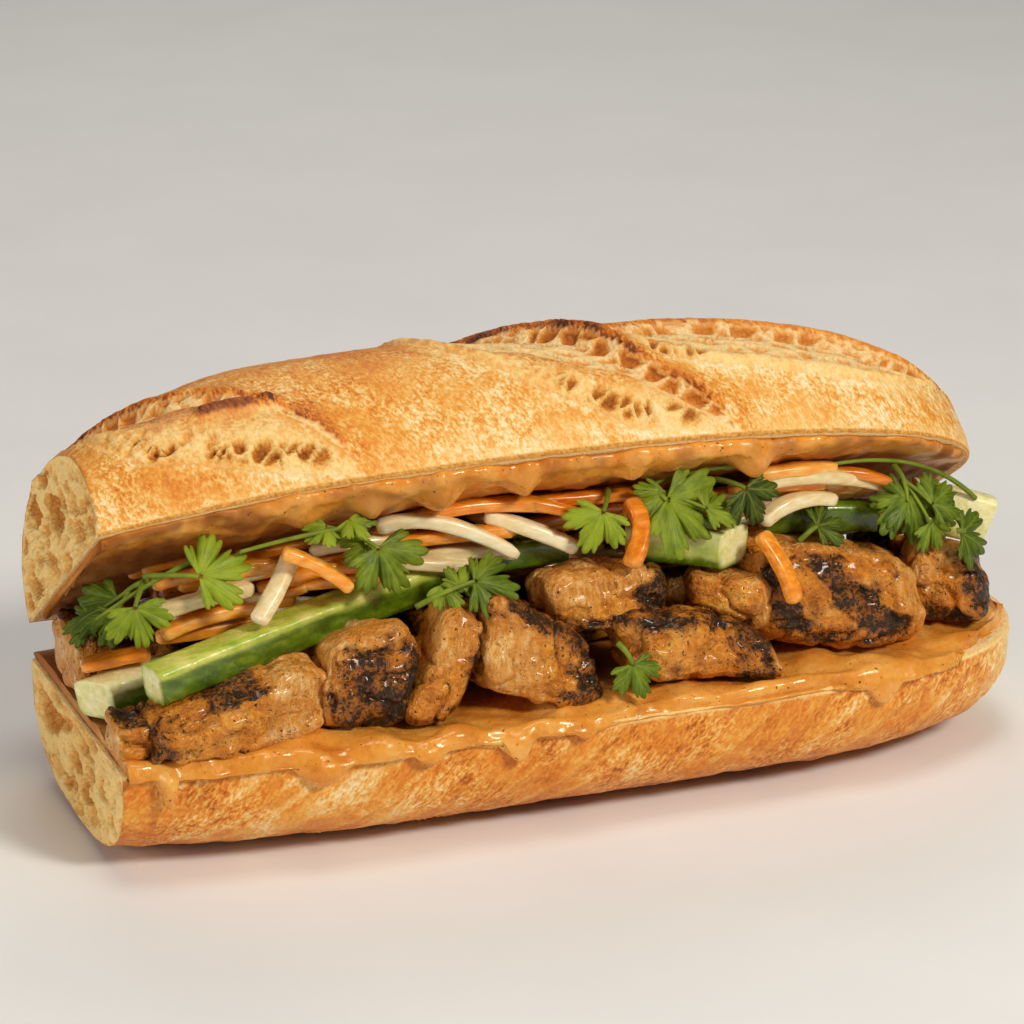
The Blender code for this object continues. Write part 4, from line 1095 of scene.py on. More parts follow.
def sweep(route, section, steps, size=None, twist=0.0):
    """Carry a section of (side, up) points along a route; size scales it at each step."""
    centre, ahead = curve_points(route, steps)
    side = np.cross(ahead, (0, 0, 1.0))
    side /= np.linalg.norm(side, axis=1, keepdims=True)
    up = np.cross(side, ahead)
    turn = np.linspace(-twist, twist, steps)[:, None]
    side, up = side * np.cos(turn) + up * np.sin(turn), up * np.cos(turn) - side * np.sin(turn)
    size = np.ones(steps) if size is None else size
    a = section[None, :, 0] * size[:, None]
    b = section[None, :, 1] * size[:, None]
    return centre[:, None] + side[:, None] * a[:, :, None] + up[:, None] * b[:, :, None]


# How square a section is: 2 for a circle, more for a rounded square
ROUND = 2.0
BATON_SQUARENESS = 4.6
SHRED_SQUARENESS = 4.2


def rounded_section(width, height, count, squareness):
    """Points round a section with rounded corners."""
    angle = 2 * np.pi * (np.arange(count) + 0.5) / count
    a = signed_power(np.cos(angle), 2 / squareness) * width / 2
    b = signed_power(np.sin(angle), 2 / squareness) * height / 2
    return np.stack([a, b], -1)


def closed_grid(grid, masks):
    """Rings closed at both ends by a smaller ring folded to the middle, as quads alone."""
    ends = [grid[0].mean(0) + (grid[0] - grid[0].mean(0)) * 0.02]
    far = [grid[-1].mean(0) + (grid[-1] - grid[-1].mean(0)) * 0.02]
    rows = np.concatenate([ends, grid, far])
    count = grid.shape[1]
    quads = [ring_faces(len(rows), count)]
    for start in (0, (len(rows) - 1) * count):
        half = count // 2
        k = np.arange(half - 1)
        cap = np.stack([start + k, start + k + 1, start + count - 2 - k, start + count - 1 - k], -1)
        quads.append(cap[:, ::-1] if start else cap)
    quads = np.vstack(quads)
    points = rows.reshape(-1, 3)
    full = {key: np.concatenate([v[:1], v, v[-1:]]).ravel() for key, v in masks.items()}
    return points, outward(points, quads), full


# The rings of a baton's cut end from the middle out: their share of the section, and how much
# of the skin's green and of the seeds' pale colour each one shows
END_SHARES = (0.15, 0.4, 0.65, 0.88)
END_SKIN = (0, 0, 0, 0.6)
END_CORE = (1, 0.8, 0.5, 0.2)
BEVEL_FADE = 26


def baton_grid(start, end, width, height, skin_at, skin_reach, paleness, bevels, seed):
    """A cucumber baton: rings with masks for skin, seeds and depth towards the core."""
    steps = BATON_STATIONS
    middle = [(a + b) / 2 for a, b in zip(start, end)]
    middle[2] += 0.4
    section = rounded_section(width, height, BATON_LANES, BATON_SQUARENESS)
    grid = sweep((start, middle, end), section, steps)
    axis = np.array(end) - np.array(start)
    axis /= np.linalg.norm(axis)
    fade = np.clip(1 - np.arange(steps) / BEVEL_FADE, 0, 1)
    front = 0.5 + section[:, 0] / width
    cut = bevels[0] * fade[:, None] * front - bevels[1] * fade[::-1, None] * front
    grid = grid + cut[:, :, None] * axis
    near, far = grid[0].mean(0), grid[-1].mean(0)
    inner = [near + (grid[0] - near) * share for share in END_SHARES]
    outer = [far + (grid[-1] - far) * share for share in END_SHARES[::-1]]
    body = np.concatenate([inner, grid, outer])
    angle = np.degrees(np.arctan2(section[:, 1], section[:, 0]))
    apart = np.abs((angle - skin_at + 180) % 360 - 180)
    points = body.reshape(-1, 3)
    wave = rough_noise(points, 9.0, seed).reshape(body.shape[:2])
    skin = 1 - step_up(apart[None, :] + 9 * wave, skin_reach - 5, skin_reach + 9)
    ends = len(END_SHARES)
    skin[:ends] *= np.array(END_SKIN)[:, None]
    skin[-ends:] *= np.array(END_SKIN[::-1])[:, None]
    core = np.zeros(body.shape[:2])
    core[:ends] = np.array(END_CORE)[:, None]
    core[-ends:] = np.array(END_CORE[::-1])[:, None]
    normal = grid_normals(body, np.stack([ring.mean(0) for ring in body]))
    relief = 0.16 * rough_noise(points, 3.0, seed + 1).reshape(body.shape[:2])
    relief[:ends] *= 0.2
    relief[-ends:] *= 0.2
    upper = step_up(np.broadcast_to(section[:, 1] / height, body.shape[:2]), -0.1, 0.45)
    pale = np.clip(paleness * (0.35 + 0.65 * upper) + 0.3 * wave * paleness, 0, 1)
    return body + normal * relief[:, :, None], {"skin": skin, "core": core, "pale": pale}


def make_cucumber(name, start, end, width, height, skin_at, skin_reach, paleness, bevels, material):
    seed = sum(map(ord, name))
    grid, masks = baton_grid(start, end, width, height, skin_at, skin_reach, paleness, bevels, seed)
    points, quads, masks = closed_grid(grid, masks)
    return new_piece(name, points, [quads], material, masks, [name])


def shred(route, width, thickness, seed, steps=SHRED_STATIONS, count=SHRED_LANES):
    """One cut shred of root: uneven in width, slightly twisted, with worn edges."""
    section = rounded_section(width, thickness, count, SHRED_SQUARENESS)
    t = np.linspace(0, 1, steps)
    line = np.stack([t * 30, t * 0 + seed * 7.3, t * 0], -1)
    size = 1 + 0.07 * smooth_noise(line, 6.0, seed)
    size *= 0.62 + 0.38 * np.minimum(1, np.minimum(t, 1 - t) / 0.04)
    twist = 0.22 * (lattice(np.int64(seed), np.int64(3), np.int64(5), 7) - 0.5)
    grid = sweep(route, section, steps, size, twist)
    tone = np.full(grid.shape[:2], lattice(np.int64(seed), np.int64(1), np.int64(2), 9))
    end = np.broadcast_to((1 - np.minimum(1, np.minimum(t, 1 - t) / 0.12))[:, None], tone.shape)
    return closed_grid(grid, {"tone": tone, "end": end})


def make_strip(name, kind, route, width, thickness, material):
    seed = sum(map(ord, name))
    points, quads, masks = shred(route, width, thickness, seed, STRIP_STATIONS, STRIP_LANES)
    return new_piece(name, points, [quads], material, masks, [name])


def heap_outline(x):
    left, right = HEAP_STEP
    step = min(1.0, max(0.0, (x - left) / (right - left)))
    front = HEAP_FRONT_LEFT + (HEAP_FRONT_RIGHT - HEAP_FRONT_LEFT) * step
    brow_y, brow_z = HEAP_BROW
    lower_front = ((min(front, brow_y + 1.0), brow_z - 2.2), (front, brow_z - 4.4), (front, 50.8))
    return lower_front + ((front + 2.4, 44.2),) + HEAP_BACK + ((brow_y + 0.6, brow_z),)


def make_heap_core(material):
    """The inside of the heap, kept a little smaller than the shreds that lie on it, coloured dark
    brown as painted shade between the shreds.
    """
    rings = []
    centre = np.array((2.0, 52.0))
    for x in np.linspace(HEAP_LEFT + 2, HEAP_RIGHT - 2, HEAP_STATIONS):
        share = (x - HEAP_LEFT) / (HEAP_RIGHT - HEAP_LEFT)
        taper = 0.55 + 0.45 * min(1.0, 5 * share, 5 * (1 - share))
        outline = np.array(heap_outline(x))
        ring = centre + (outline - centre) * taper * HEAP_CORE_SHARE
        rings.append(np.column_stack([np.full(len(ring), x), ring]))
    corners = np.array(rings)
    section = rounded_ring(corners[:, :, 1:], HEAP_LANES)
    x = np.broadcast_to(corners[:, :1, :1], section.shape[:2] + (1,))
    grid = np.concatenate([x, section], axis=2)
    normal = grid_normals(grid, grid.mean(1))
    points = grid.reshape(-1, 3)
    strands = 1 - np.abs(smooth_noise(points * (0.14, 1, 1), 2.6, 191))
    relief = (1.1 * (strands - 0.6) + 0.4 * rough_noise(points, 7.0, 193)).reshape(grid.shape[:2])
    tone = (0.5 + 0.5 * smooth_noise(points * (0.1, 1, 1), 3.0, 197)).reshape(grid.shape[:2])
    grid = grid + normal * relief[:, :, None]
    masks = {"tone": tone, "end": tone * 0}
    return close_tube("shaded_slaw_core", grid, material, masks, ["slaw_heap"])


def heap_shreds(rng):
    """Routes of the shreds that lie along the heap's front, brow and back."""
    found = []
    for i in range(HEAP_FRONT_SHREDS + HEAP_BACK_SHREDS):
        behind = i >= HEAP_FRONT_SHREDS
        x = rng.uniform(HEAP_LEFT + 8, HEAP_RIGHT - 8)
        length = rng.uniform(*SHRED_LENGTH)
        outline = heap_outline(x)
        if behind:
            share = rng.uniform(0.0, 1.0)
            upper, lower = np.array(BACK_SLOPE)
            y, z = upper * (1 - share) + lower * share
            lift = (0.6, 0.9)
        else:
            z = rng.uniform(50.0, 65.6)
            y = np.interp(z, (44.2, 50.8, 59.9, 62.1, 64.3),
                          (outline[3][0], outline[2][0], outline[1][0], outline[0][0], -11.4))
            lift = (-1.0, 0.2)
        slope = rng.uniform(-0.16, 0.16)
        lean = rng.uniform(-0.05, 0.05)
        bow = rng.uniform(-1.6, 1.6)
        reach = min(length / 2, x - HEAP_LEFT + 4, HEAP_RIGHT + 4 - x)
        route = [
            (x + k * reach, y + lift[0] + k * reach * lean,
             z + lift[1] + k * reach * slope + (0 if k else bow))
            for k in (-1, 0, 1)
        ]
        kind = "daikon" if rng.random() < DAIKON_SHARE else "carrot"
        width = rng.uniform(*SHRED_WIDTH)
        found.append((kind, route, width, rng.uniform(*SHRED_THICKNESS)))
    return found


def make_slaw(materials):
    rng = random.Random(HEAP_SEED)
    everything = list(HEAP_STRIPS) + heap_shreds(rng)
    for kind in ("carrot", "daikon"):
        chosen = [entry for entry in everything if entry[0] == kind]
        parts = [shred(*shape, FIRST_SHRED_SEED + i) for i, (_, *shape) in enumerate(chosen)]
        points, quads, masks = joined(parts)
        new_piece("slaw_" + kind, points, [quads], materials[kind], masks, ["slaw_heap"])
    make_heap_core(materials["shaded_slaw_core"])


# Cilantro

FAN_HALF = math.radians(102)
# The lobes of a leaf as fans from the stalk: direction in degrees, half width, share of the reach
LOBES = ((0, 30, 1.0), (52, 26, 0.94), (-52, 26, 0.94), (88, 15, 0.68), (-88, 15, 0.68))
TOOTH_STEP = math.radians(14.5)


def leaf_rim(angle, seed):
    """Share of the reach at each angle from the tip: deep lobes, each cut into blunt teeth."""
    rim = np.full(len(angle), 0.42)
    for middle, half, reach in LOBES:
        off = np.abs(angle - math.radians(middle)) / math.radians(half)
        lobe = reach * (1 - 0.16 * off ** 2) * np.clip(1 - off ** 5, 0, 1) ** 0.5
        rim = np.maximum(rim, lobe)
    clefts = 1 - 0.16 * np.exp(-((np.abs(np.abs(angle) - 0.30)) / 0.045) ** 2)
    teeth = 1 - 0.21 * (1 - np.abs(np.cos(np.pi * angle / TOOTH_STEP + 0.7 * seed)) ** 0.5)
    return rim * clefts * teeth


def leaf_veins(a, b, reach):
    """How close each point of a leaf is to one of its branching veins."""
    best = np.full(a.shape, 9.0)
    for middle, _, share in LOBES:
        turn = math.radians(middle)
        ahead = np.array((math.cos(turn), math.sin(turn)))
        branches = [((0, 0), middle, share * 0.92)]
        for out, spread in ((0.34, 24), (0.34, -24), (0.58, 20), (0.58, -20)):
            root = ahead * reach * share * out
            branches.append((tuple(root), middle + spread, share * 0.42))
        for (x, y), degrees, length in branches:
            run = np.array((math.cos(math.radians(degrees)), math.sin(math.radians(degrees))))
            along = np.clip((a - x) * run[0] + (b - y) * run[1], 0, length * reach)
            away = np.hypot(a - x - along * run[0], b - y - along * run[1])
            width = (0.26 if (x, y) == (0, 0) else 0.16) * (1 - 0.5 * along / (length * reach))
            best = np.minimum(best, away / width)
    return np.exp(-best ** 2)


def sheet_faces(rows, count):
    """Quads of a thin sheet: its upper grid, its lower grid, and the band round their edges."""
    row = np.arange(rows - 1)[:, None] * count
    lane = np.arange(count - 1)[None, :]
    top = [row + lane, row + lane + 1, row + count + lane + 1, row + count + lane]
    top = np.stack(top, -1).reshape(-1, 4)
    under = rows * count
    edges = np.concatenate([
        np.arange(count),
        np.arange(2, rows + 1) * count - 1,
        (rows - 1) * count + np.arange(count - 1)[::-1],
        np.arange(1, rows - 1)[::-1] * count,
    ])
    after = np.roll(edges, -1)
    band = np.stack([after, edges, edges + under, after + under], -1)
    return np.vstack([top, top[:, ::-1] + under, band])


def leaf_axes(facing, tip):
    """Unit vectors out of a leaf, towards its tip and to its side."""
    normal = np.array(facing, float)
    normal /= np.linalg.norm(normal)
    forward = np.array(tip, float)
    forward -= normal * (forward @ normal)
    forward /= np.linalg.norm(forward)
    return normal, forward, np.cross(normal, forward)


def leaf_part(centre, reach, facing, tip, seed, light):
    """One leaflet: a thin wavy fan with sunken veins that spreads from its stalk and droops."""
    normal, forward, side = leaf_axes(facing, tip)
    angle = np.linspace(-FAN_HALF, FAN_HALF, LEAF_ANGLES)
    length = reach * 1.38
    rim = leaf_rim(angle, seed) * (1 + 0.05 * np.sin(2.3 * angle + seed))
    share = np.linspace(0.05, 1, LEAF_RINGS)[:, None] ** 0.85
    distance = length * share * rim
    a = distance * np.cos(angle)
    b = distance * np.sin(angle)
    veins = leaf_veins(a, b, length)
    wave = 0.07 * length * share ** 1.3 * np.sin(2.2 * angle + seed)
    ruffle = 0.030 * length * share ** 2 * np.sin(10.0 * angle + 2.0 * seed)
    droop = -0.20 * length * share ** 2.2 * (0.6 + 0.4 * np.cos(angle))
    fold = 0.10 * length * np.abs(np.sin(1.5 * angle)) * share
    height = wave + ruffle + droop + fold - 0.14 * veins
    stalk = np.array(centre, float) - forward * reach * 0.60 + normal * 0.10 * reach
    across = forward * a[..., None] + side * b[..., None]
    surface = stalk + across + normal * height[..., None]
    out = np.broadcast_to(share, a.shape)
    half = LEAF_THICKNESS / 2 * (1 - 0.6 * out ** 3)
    layers = [surface + normal * half[..., None], surface - normal * half[..., None]]
    points = np.concatenate(layers).reshape(-1, 3)
    masks = {
        # The tone carries the sprig's lightness: its own tone with painted light and shade.
        "tone": np.full(len(points), light + 0.12 * math.sin(3.1 * seed)),
        "vein": np.concatenate([veins, veins]).ravel(),
    }
    return (points, outward(points, sheet_faces(*a.shape)), masks), stalk


def stem_part(start, end, bow, radius):
    """A round stem from start to end, bowed at its middle."""
    middle = (np.array(start) + np.array(end)) / 2 + np.array(bow)
    section = rounded_section(radius * 2, radius * 2, STEM_LANES, ROUND)
    size = np.linspace(0.8, 1.15, STEM_STATIONS)
    grid = sweep((start, middle, end), section, STEM_STATIONS, size)
    flat = np.zeros(grid.shape[:2])
    return closed_grid(grid, {"tone": flat + 0.6, "vein": flat + 0.75})


def make_sprig(number, light, centre, reach, facing, tip, stem_end, material):
    seed = 1.7 * (number - 1) + 0.4
    leaf, base = leaf_part(centre, reach, facing, tip, seed, light)
    normal = np.array(facing, float) / np.linalg.norm(facing)
    parts = [leaf, stem_part(base, stem_end, normal * 1.4, STEM_RADIUS)]
    fork = (np.array(base) * 0.6 + np.array(stem_end) * 0.4) + normal * 0.9
    for k, (owner, *shape) in enumerate(LEAFLETS):
        if owner == number:
            leaflet, joint = leaf_part(*shape, seed + 2.3 * k, light)
            parts.append(leaflet)
            parts.append(stem_part(joint, fork, np.array((0, -0.4, 0.5)), STEM_RADIUS * 0.75))
    for owner, start, bow, end in LONG_STEMS:
        if owner == number:
            parts.append(stem_part(start, end, bow, STEM_RADIUS * 0.9))
    name = f"cilantro_{number}"
    points, quads, masks = joined(parts)
    return new_piece(name, points, [quads], material, masks, [name])


# Materials

def linear(red, green, blue):
    """A colour given as 0 to 255 screen values, for a shader."""
    values = []
    for value in (red, green, blue):
        share = value / 255
        values.append(share / 12.92 if share <= 0.04045 else ((share + 0.055) / 1.055) ** 2.4)
    return (*values, 1.0)


class Shader:
    """A small helper that adds nodes to one material."""

    def __init__(self, name):
        self.material = bpy.data.materials.new(name)
        self.material.use_nodes = True
        self.tree = self.material.node_tree
        self.surface = self.tree.nodes["Principled BSDF"]
        self.place = self.node("ShaderNodeTexCoord").outputs["Object"]

    def node(self, kind, **settings):
        made = self.tree.nodes.new(kind)
        for key, value in settings.items():
            setattr(made, key, value)
        return made

    def link(self, source, target):
        if isinstance(source, (int, float, tuple)):
            target.default_value = source
        else:
            self.tree.links.new(source, target)

    def mask(self, key):
        return self.node("ShaderNodeAttribute", attribute_name=key).outputs["Fac"]

    def stretched(self, scale, turn=(0, 0, 0)):
        """The place, turned and then stretched by scale, for streaks."""
        mapping = self.node("ShaderNodeMapping", vector_type='TEXTURE')
        mapping.inputs["Scale"].default_value = scale
        mapping.inputs["Rotation"].default_value = turn
        self.link(self.place, mapping.inputs["Vector"])
        return mapping.outputs["Vector"]

    def noise(self, size, detail=3.0, rough=0.5, place=None):
        """Noise from 0 to 1 whose hills are about size mm wide."""
        made = self.node("ShaderNodeTexNoise")
        made.inputs["Scale"].default_value = 1 / (size * MM)
        made.inputs["Detail"].default_value = detail
        made.inputs["Roughness"].default_value = rough
        self.link(place or self.place, made.inputs["Vector"])
        return made.outputs["Fac"]

    def math(self, operation, a, b=0.0, clamp=False):
        made = self.node("ShaderNodeMath", operation=operation, use_clamp=clamp)
        self.link(a, made.inputs[0])
        self.link(b, made.inputs[1])
        return made.outputs[0]

    def weighted(self, a, share_a, b, share_b):
        """The sum of two values, each times its share."""
        a = self.math('MULTIPLY', a, share_a)
        b = self.math('MULTIPLY', b, share_b)
        return self.math('ADD', a, b)

    def span(self, value, low, high, to_low=0.0, to_high=1.0):
        """Carry value from low..high to to_low..to_high, held at the ends."""
        made = self.node("ShaderNodeMapRange", interpolation_type='SMOOTHSTEP')
        self.link(value, made.inputs["Value"])
        made.inputs["From Min"].default_value = low
        made.inputs["From Max"].default_value = high
        made.inputs["To Min"].default_value = to_low
        made.inputs["To Max"].default_value = to_high
        return made.outputs[0]

    def mix(self, share, a, b, blend='MIX'):
        made = self.node("ShaderNodeMix", data_type='RGBA', blend_type=blend)
        self.link(share, made.inputs[0])
        self.link(a, made.inputs[6])
        self.link(b, made.inputs[7])
        return made.outputs[2]

    def ramp(self, value, *stops):
        made = self.node("ShaderNodeValToRGB")
        ramp = made.color_ramp
        while len(ramp.elements) < len(stops):
            ramp.elements.new(0.5)
        for element, (place, colour) in zip(ramp.elements, stops):
            element.position = place
            element.color = colour
        self.link(value, made.inputs["Fac"])
        return made.outputs["Color"]

    def finish(self, colour, roughness, bump=None, depth=0.2, strength=1.0, **fixed):
        """Join colour, roughness and bump to the surface, and set its fixed numbers."""
        self.link(colour, self.surface.inputs["Base Color"])
        self.link(roughness, self.surface.inputs["Roughness"])
        if bump is not None:
            node = self.node("ShaderNodeBump")
            node.inputs["Distance"].default_value = depth * MM
            node.inputs["Strength"].default_value = strength
            self.link(bump, node.inputs["Height"])
            self.link(node.outputs["Normal"], self.surface.inputs["Normal"])
        for key, value in fixed.items():
            self.surface.inputs[key.replace("_", " ")].default_value = value
        return self.material


def bread_material(name, lean):
    """Baked crust with torn crumb; lean is the angle of its wrinkles about Y."""
    shader = Shader(name)
    blotches = shader.noise(7.0, 4.0, 0.6)
    flaky_and_glinting = shader.span(shader.noise(13.0, 3.0, 0.6), 0.40, 0.60, 0.40, 1.0)
    fine = shader.noise(0.9, 3.0, 0.6)
    streaks = shader.noise(0.72, 4.0, 0.62, shader.stretched((1, 1.3, 1.9), (0, lean, 0)))
    long_streaks = shader.noise(1.9, 3.0, 0.55, shader.stretched((1, 1.5, 2.4), (0, lean, 0)))
    bake = shader.math('ADD', shader.mask("bake"), shader.span(blotches, 0.25, 0.75, -0.07, 0.09))
    # Pale streaks: partly flour flakes, partly painted glints along the crust's wrinkles.
    flakes_and_glints = shader.math('ADD', shader.span(streaks, 0.36, 0.62, -0.27, 0.09),
                         shader.span(long_streaks, 0.32, 0.68, -0.14, 0.07))
    bake = shader.math('ADD', bake, shader.math('MULTIPLY', flakes_and_glints, flaky_and_glinting))
    crust = shader.ramp(
        bake,
        (0.06, linear(253, 232, 184)),
        (0.24, linear(249, 206, 128)),
        (0.42, linear(240, 166, 64)),
        (0.62, linear(222, 126, 28)),
        (0.82, linear(156, 76, 14)),
        (1.00, linear(80, 34, 8)),
    )
    # Painted shade: the crumb darkens to brown in its pits, holes and pores, by the shade mask.
    pit_shade = shader.mask("pit_shade")
    grain = shader.span(shader.noise(0.8, 3.0, 0.6), 0.25, 0.75, -0.16, 0.20)
    depth = shader.math('ADD', pit_shade, grain, clamp=True)
    pale_crumb = shader.ramp(
        depth,
        (0.0, linear(252, 216, 142)),
        (0.28, linear(238, 182, 94)),
        (0.60, linear(198, 124, 40)),
        (1.0, linear(138, 74, 18)),
    )
    hollow = shader.mask("amber")
    amber = shader.ramp(
        shader.math('ADD', hollow, shader.span(fine, 0.3, 0.7, -0.10, 0.10)),
        (0.15, linear(250, 220, 160)),
        (0.42, linear(228, 160, 76)),
        (0.72, linear(196, 112, 34)),
        (1.0, linear(138, 68, 14)),
    )
    crumb = shader.mix(shader.span(hollow, 0.02, 0.20), pale_crumb, amber)
    inside = shader.mask("crumb")
    colour = shader.mix(inside, crust, crumb)
    roughness = shader.math('ADD', shader.span(inside, 0.0, 1.0, 0.38, 0.80),
                            shader.span(fine, 0.2, 0.8, -0.06, 0.12))
    bump = shader.math('ADD', shader.math('MULTIPLY', long_streaks, 1.6), streaks)
    return shader.finish(colour, roughness, bump, 0.50, 0.9, Specular_IOR_Level=0.40)


def sauce_material():
    shader = Shader("sauce")
    broad = shader.noise(9.0, 3.0, 0.5)
    fine = shader.noise(1.4, 3.0, 0.6)
    colour = shader.ramp(
        shader.weighted(broad, 0.75, fine, 0.25),
        (0.25, linear(196, 108, 26)),
        (0.50, linear(226, 150, 58)),
        (0.75, linear(244, 186, 98)),
    )
    painted_shade = shader.mask("painted_shade")
    specks = shader.span(shader.noise(0.85, 2.0, 0.5), 0.67, 0.73)
    # Painted shade: the sauce turns deep brown, and rougher, where the shade mask is high.
    colour = shader.mix(shader.math('MULTIPLY', painted_shade, 0.75), colour, linear(124, 58, 12))
    colour = shader.mix(specks, colour, linear(96, 42, 8))
    roughness = shader.math('ADD', shader.span(fine, 0.3, 0.7, 0.13, 0.32),
                            shader.math('MULTIPLY', painted_shade, 0.55))
    return shader.finish(colour, roughness, shader.noise(2.2, 2.0, 0.5), 0.30, 0.7,
                         Subsurface_Weight=0.12, Subsurface_Scale=0.0015, Coat_Weight=0.05,
                         Coat_Roughness=0.12, Specular_IOR_Level=0.50,
                         Specular_Tint=(1.0, 0.88, 0.70, 1.0))


def chicken_material():
    shader = Shader("chicken")
    broad = shader.noise(7.0, 3.0, 0.55)
    fine = shader.noise(1.2, 4.0, 0.62)
    grain = shader.noise(1.3, 3.0, 0.55, shader.stretched((0.8, 0.8, 3.0)))
    glazed = shader.ramp(
        shader.weighted(broad, 0.6, fine, 0.4),
        (0.30, linear(132, 60, 4)),
        (0.50, linear(212, 128, 30)),
        (0.70, linear(248, 186, 84)),
    )
    meat = shader.ramp(
        shader.weighted(grain, 0.6, broad, 0.4),
        (0.32, linear(176, 100, 22)),
        (0.50, linear(220, 150, 64)),
        (0.66, linear(246, 206, 140)),
    )
    colour = shader.mix(shader.mask("pale"), glazed, meat)
    # The mask is char with a little painted shade in the creases.
    char_and_crease_shade = shader.mask("char_and_crease_shade")
    crisp = shader.span(shader.noise(1.25, 5.0, 0.75), 0.30, 0.70, -0.50, 0.50)
    speckled = shader.math('ADD', char_and_crease_shade, crisp)
    browned = shader.math('ADD', char_and_crease_shade, shader.span(broad, 0.3, 0.7, -0.15, 0.15))
    colour = shader.mix(shader.span(browned, 0.05, 0.70, 0.0, 0.85), colour, linear(128, 64, 8))
    flecks = shader.math('ADD', shader.noise(1.7, 4.0, 0.7), shader.math('MULTIPLY', char_and_crease_shade, 0.14))
    colour = shader.mix(shader.span(flecks, 0.60, 0.70, 0.0, 0.75), colour, linear(104, 42, 4))
    colour = shader.mix(shader.span(speckled, 0.52, 0.88), colour, linear(30, 12, 1))
    pepper = shader.math('ADD', shader.noise(0.95, 3.0, 0.6), shader.math('MULTIPLY', char_and_crease_shade, 0.14))
    colour = shader.mix(shader.span(pepper, 0.64, 0.69), colour, linear(30, 12, 2))
    roughness = shader.span(shader.noise(0.8, 3.0, 0.6), 0.32, 0.62, 0.26, 0.62)
    bump = shader.weighted(fine, 1.3, grain, 0.7)
    return shader.finish(colour, roughness, bump, 0.85, 1.0, Subsurface_Weight=0.04,
                         Subsurface_Scale=0.001, Specular_IOR_Level=0.46, Coat_Weight=0.30,
                         Coat_Roughness=0.14, Specular_Tint=(1.0, 0.82, 0.58, 1.0))


def cucumber_material():
    shader = Shader("cucumber")
    streaks = shader.noise(2.4, 3.0, 0.55, shader.stretched((3.0, 1, 1)))
    flesh = shader.ramp(
        streaks,
        (0.25, linear(130, 156, 26)),
        (0.50, linear(180, 192, 62)),
        (0.75, linear(230, 220, 130)),
    )
    core = shader.ramp(
        shader.noise(1.8, 2.0),
        (0.3, linear(226, 220, 134)),
        (0.7, linear(254, 245, 194)),
    )
    seeds = shader.math('ADD', shader.mask("core"), shader.mask("pale"), clamp=True)
    colour = shader.mix(shader.span(seeds, 0.0, 0.8), flesh, core)
    skin = shader.ramp(
        streaks,
        (0.25, linear(44, 68, 4)),
        (0.55, linear(88, 116, 12)),
        (0.80, linear(142, 162, 34)),
    )
    colour = shader.mix(shader.mask("skin"), colour, skin)
    roughness = shader.span(shader.noise(1.5), 0.3, 0.7, 0.18, 0.34)
    return shader.finish(colour, roughness, shader.noise(1.1, 2.0), 0.14, 0.6,
                         Subsurface_Weight=0.15, Subsurface_Scale=0.002, Coat_Weight=0.2)


def root_material(name, *tones):
    """Cut carrot or daikon; tones are its dark, middle and light colour."""
    dark, mid, light = (linear(*tone) for tone in tones)
    shader = Shader(name)
    fibres = shader.noise(1.4, 3.0, 0.5, shader.stretched((3.4, 1, 1)))
    value = shader.weighted(fibres, 0.7, shader.mask("tone"), 0.3)
    colour = shader.ramp(value, (0.22, dark), (0.50, mid), (0.78, light))
    colour = shader.mix(shader.math('MULTIPLY', shader.mask("end"), 0.35), colour, light)
    roughness = shader.span(fibres, 0.3, 0.7, 0.16, 0.32)
    return shader.finish(colour, roughness, fibres, 0.16, 0.6, Subsurface_Weight=0.25,
                         Subsurface_Scale=0.002, Coat_Weight=0.25)


def cilantro_material():
    shader = Shader("cilantro")
    patches = shader.noise(4.0, 3.0, 0.5)
    # The tone mask is partly painted light and shade, leaf by leaf.
    value = shader.weighted(patches, 0.45, shader.mask("tone"), 0.55)
    colour = shader.ramp(
        value,
        (0.26, linear(40, 54, 2)),
        (0.50, linear(78, 98, 8)),
        (0.78, linear(142, 160, 32)),
    )
    veins = shader.math('MULTIPLY', shader.mask("vein"), 0.26)
    colour = shader.mix(veins, colour, linear(176, 190, 76))
    roughness = shader.span(patches, 0.3, 0.7, 0.42, 0.60)
    return shader.finish(colour, roughness, shader.noise(0.8, 2.0), 0.10, 0.5,
                         Subsurface_Weight=0.10, Subsurface_Scale=0.001, Specular_IOR_Level=0.24)


def make_materials():
    return {
        "crust_top": bread_material("crust_top", -0.42),
        "crust_bottom": bread_material("crust_bottom", 0.62),
        "sauce": sauce_material(),
        "chicken": chicken_material(),
        "cucumber": cucumber_material(),
        "carrot": root_material("carrot", (208, 104, 14), (242, 150, 36), (254, 198, 104)),
        "daikon": root_material("daikon", (214, 184, 120), (244, 222, 168), (254, 244, 212)),
        # The heap's core is painted dark brown: the shade seen between the shreds.
        "shaded_slaw_core": root_material("shaded_slaw_core", (60, 24, 4), (118, 54, 10), (176, 100, 34)),
        "cilantro": cilantro_material(),
    }


# Stage

def make_floor():
    bpy.ops.mesh.primitive_plane_add(size=6.0, location=(0, 0, 0))
    floor = bpy.context.object
    floor.name = "floor"
    shader = Shader("floor")
    colour = shader.ramp(
        shader.noise(60.0, 2.0),
        (0.3, (0.86, 0.855, 0.85, 1)),
        (0.7, (0.89, 0.885, 0.88, 1)),
    )
    floor.data.materials.append(shader.finish(colour, 0.7))


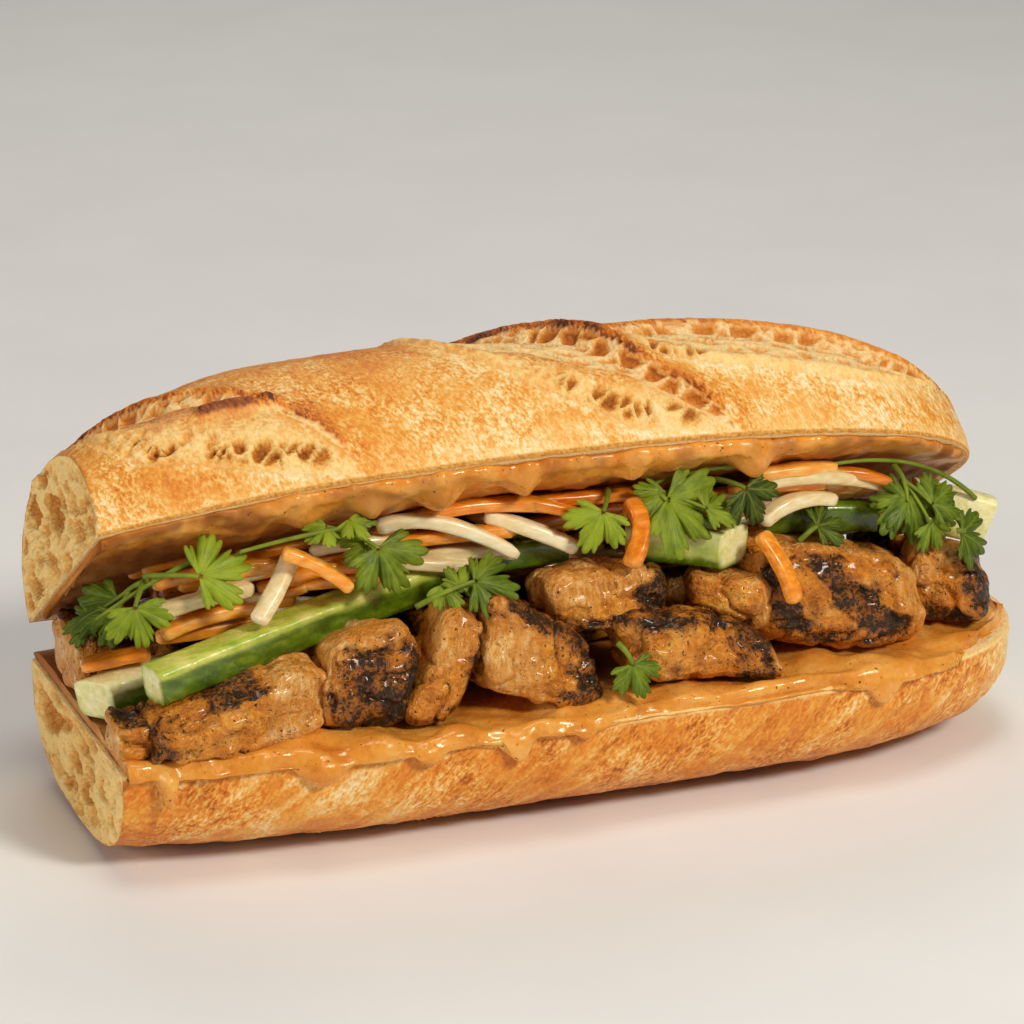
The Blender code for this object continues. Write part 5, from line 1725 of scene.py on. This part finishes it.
def add_light(name, place, size, power, colour):
    light = bpy.data.lights.new(name, 'AREA')
    light.shape = 'DISK'
    light.size = size
    light.energy = power
    light.color = colour
    lamp = bpy.data.objects.new(name, light)
    lamp.location = place
    lamp.rotation_mode = 'QUATERNION'
    lamp.rotation_quaternion = (Vector(place) - LIGHTS_AIM).to_track_quat('Z', 'Y')
    bpy.context.scene.collection.objects.link(lamp)


def make_lights():
    for light in LIGHTS:
        add_light(*light)
    world = bpy.data.worlds.new("studio")
    world.use_nodes = True
    background = world.node_tree.nodes["Background"]
    background.inputs["Color"].default_value = WORLD_COLOUR
    background.inputs["Strength"].default_value = WORLD_STRENGTH
    bpy.context.scene.world = world


def make_camera():
    azimuth = math.radians(CAMERA_AZIMUTH)
    elevation = math.radians(CAMERA_ELEVATION)
    level = math.cos(elevation)
    back = Vector((math.sin(azimuth) * level, -math.cos(azimuth) * level, math.sin(elevation)))
    right = Vector((math.cos(azimuth), math.sin(azimuth), 0))
    up = back.cross(right)
    place = (CAMERA_TARGET + back * CAMERA_DISTANCE) * MM
    camera = bpy.data.objects.new("camera", bpy.data.cameras.new("camera"))
    camera.matrix_world = Matrix((
        (right.x, up.x, back.x, place.x),
        (right.y, up.y, back.y, place.y),
        (right.z, up.z, back.z, place.z),
        (0, 0, 0, 1),
    ))
    camera.data.sensor_width = 36.0
    camera.data.lens = CAMERA_LENS
    camera.data.clip_start = 0.05
    bpy.context.scene.collection.objects.link(camera)
    bpy.context.scene.camera = camera


def main():
    bpy.context.scene.view_settings.view_transform = 'Standard'
    materials = make_materials()
    make_bread_bottom(materials["crust_bottom"])
    make_bread_top(materials["crust_top"])
    make_sauce_bottom(materials["sauce"])
    make_sauce_top(materials["sauce"])
    for block in CHICKEN:
        make_chicken(*block, materials["chicken"])
    for *baton, near_cut, far_cut in CUCUMBER:
        make_cucumber(*baton, (near_cut, far_cut), materials["cucumber"])
    make_slaw(materials)
    for name, *shape in STRIPS:
        kind = name.split("_")[0]
        make_strip(name, kind, *shape, materials[kind])
    for number, sprig in enumerate(CILANTRO, 1):
        make_sprig(number, *sprig, materials["cilantro"])
    make_floor()
    make_lights()
    make_camera()


main()
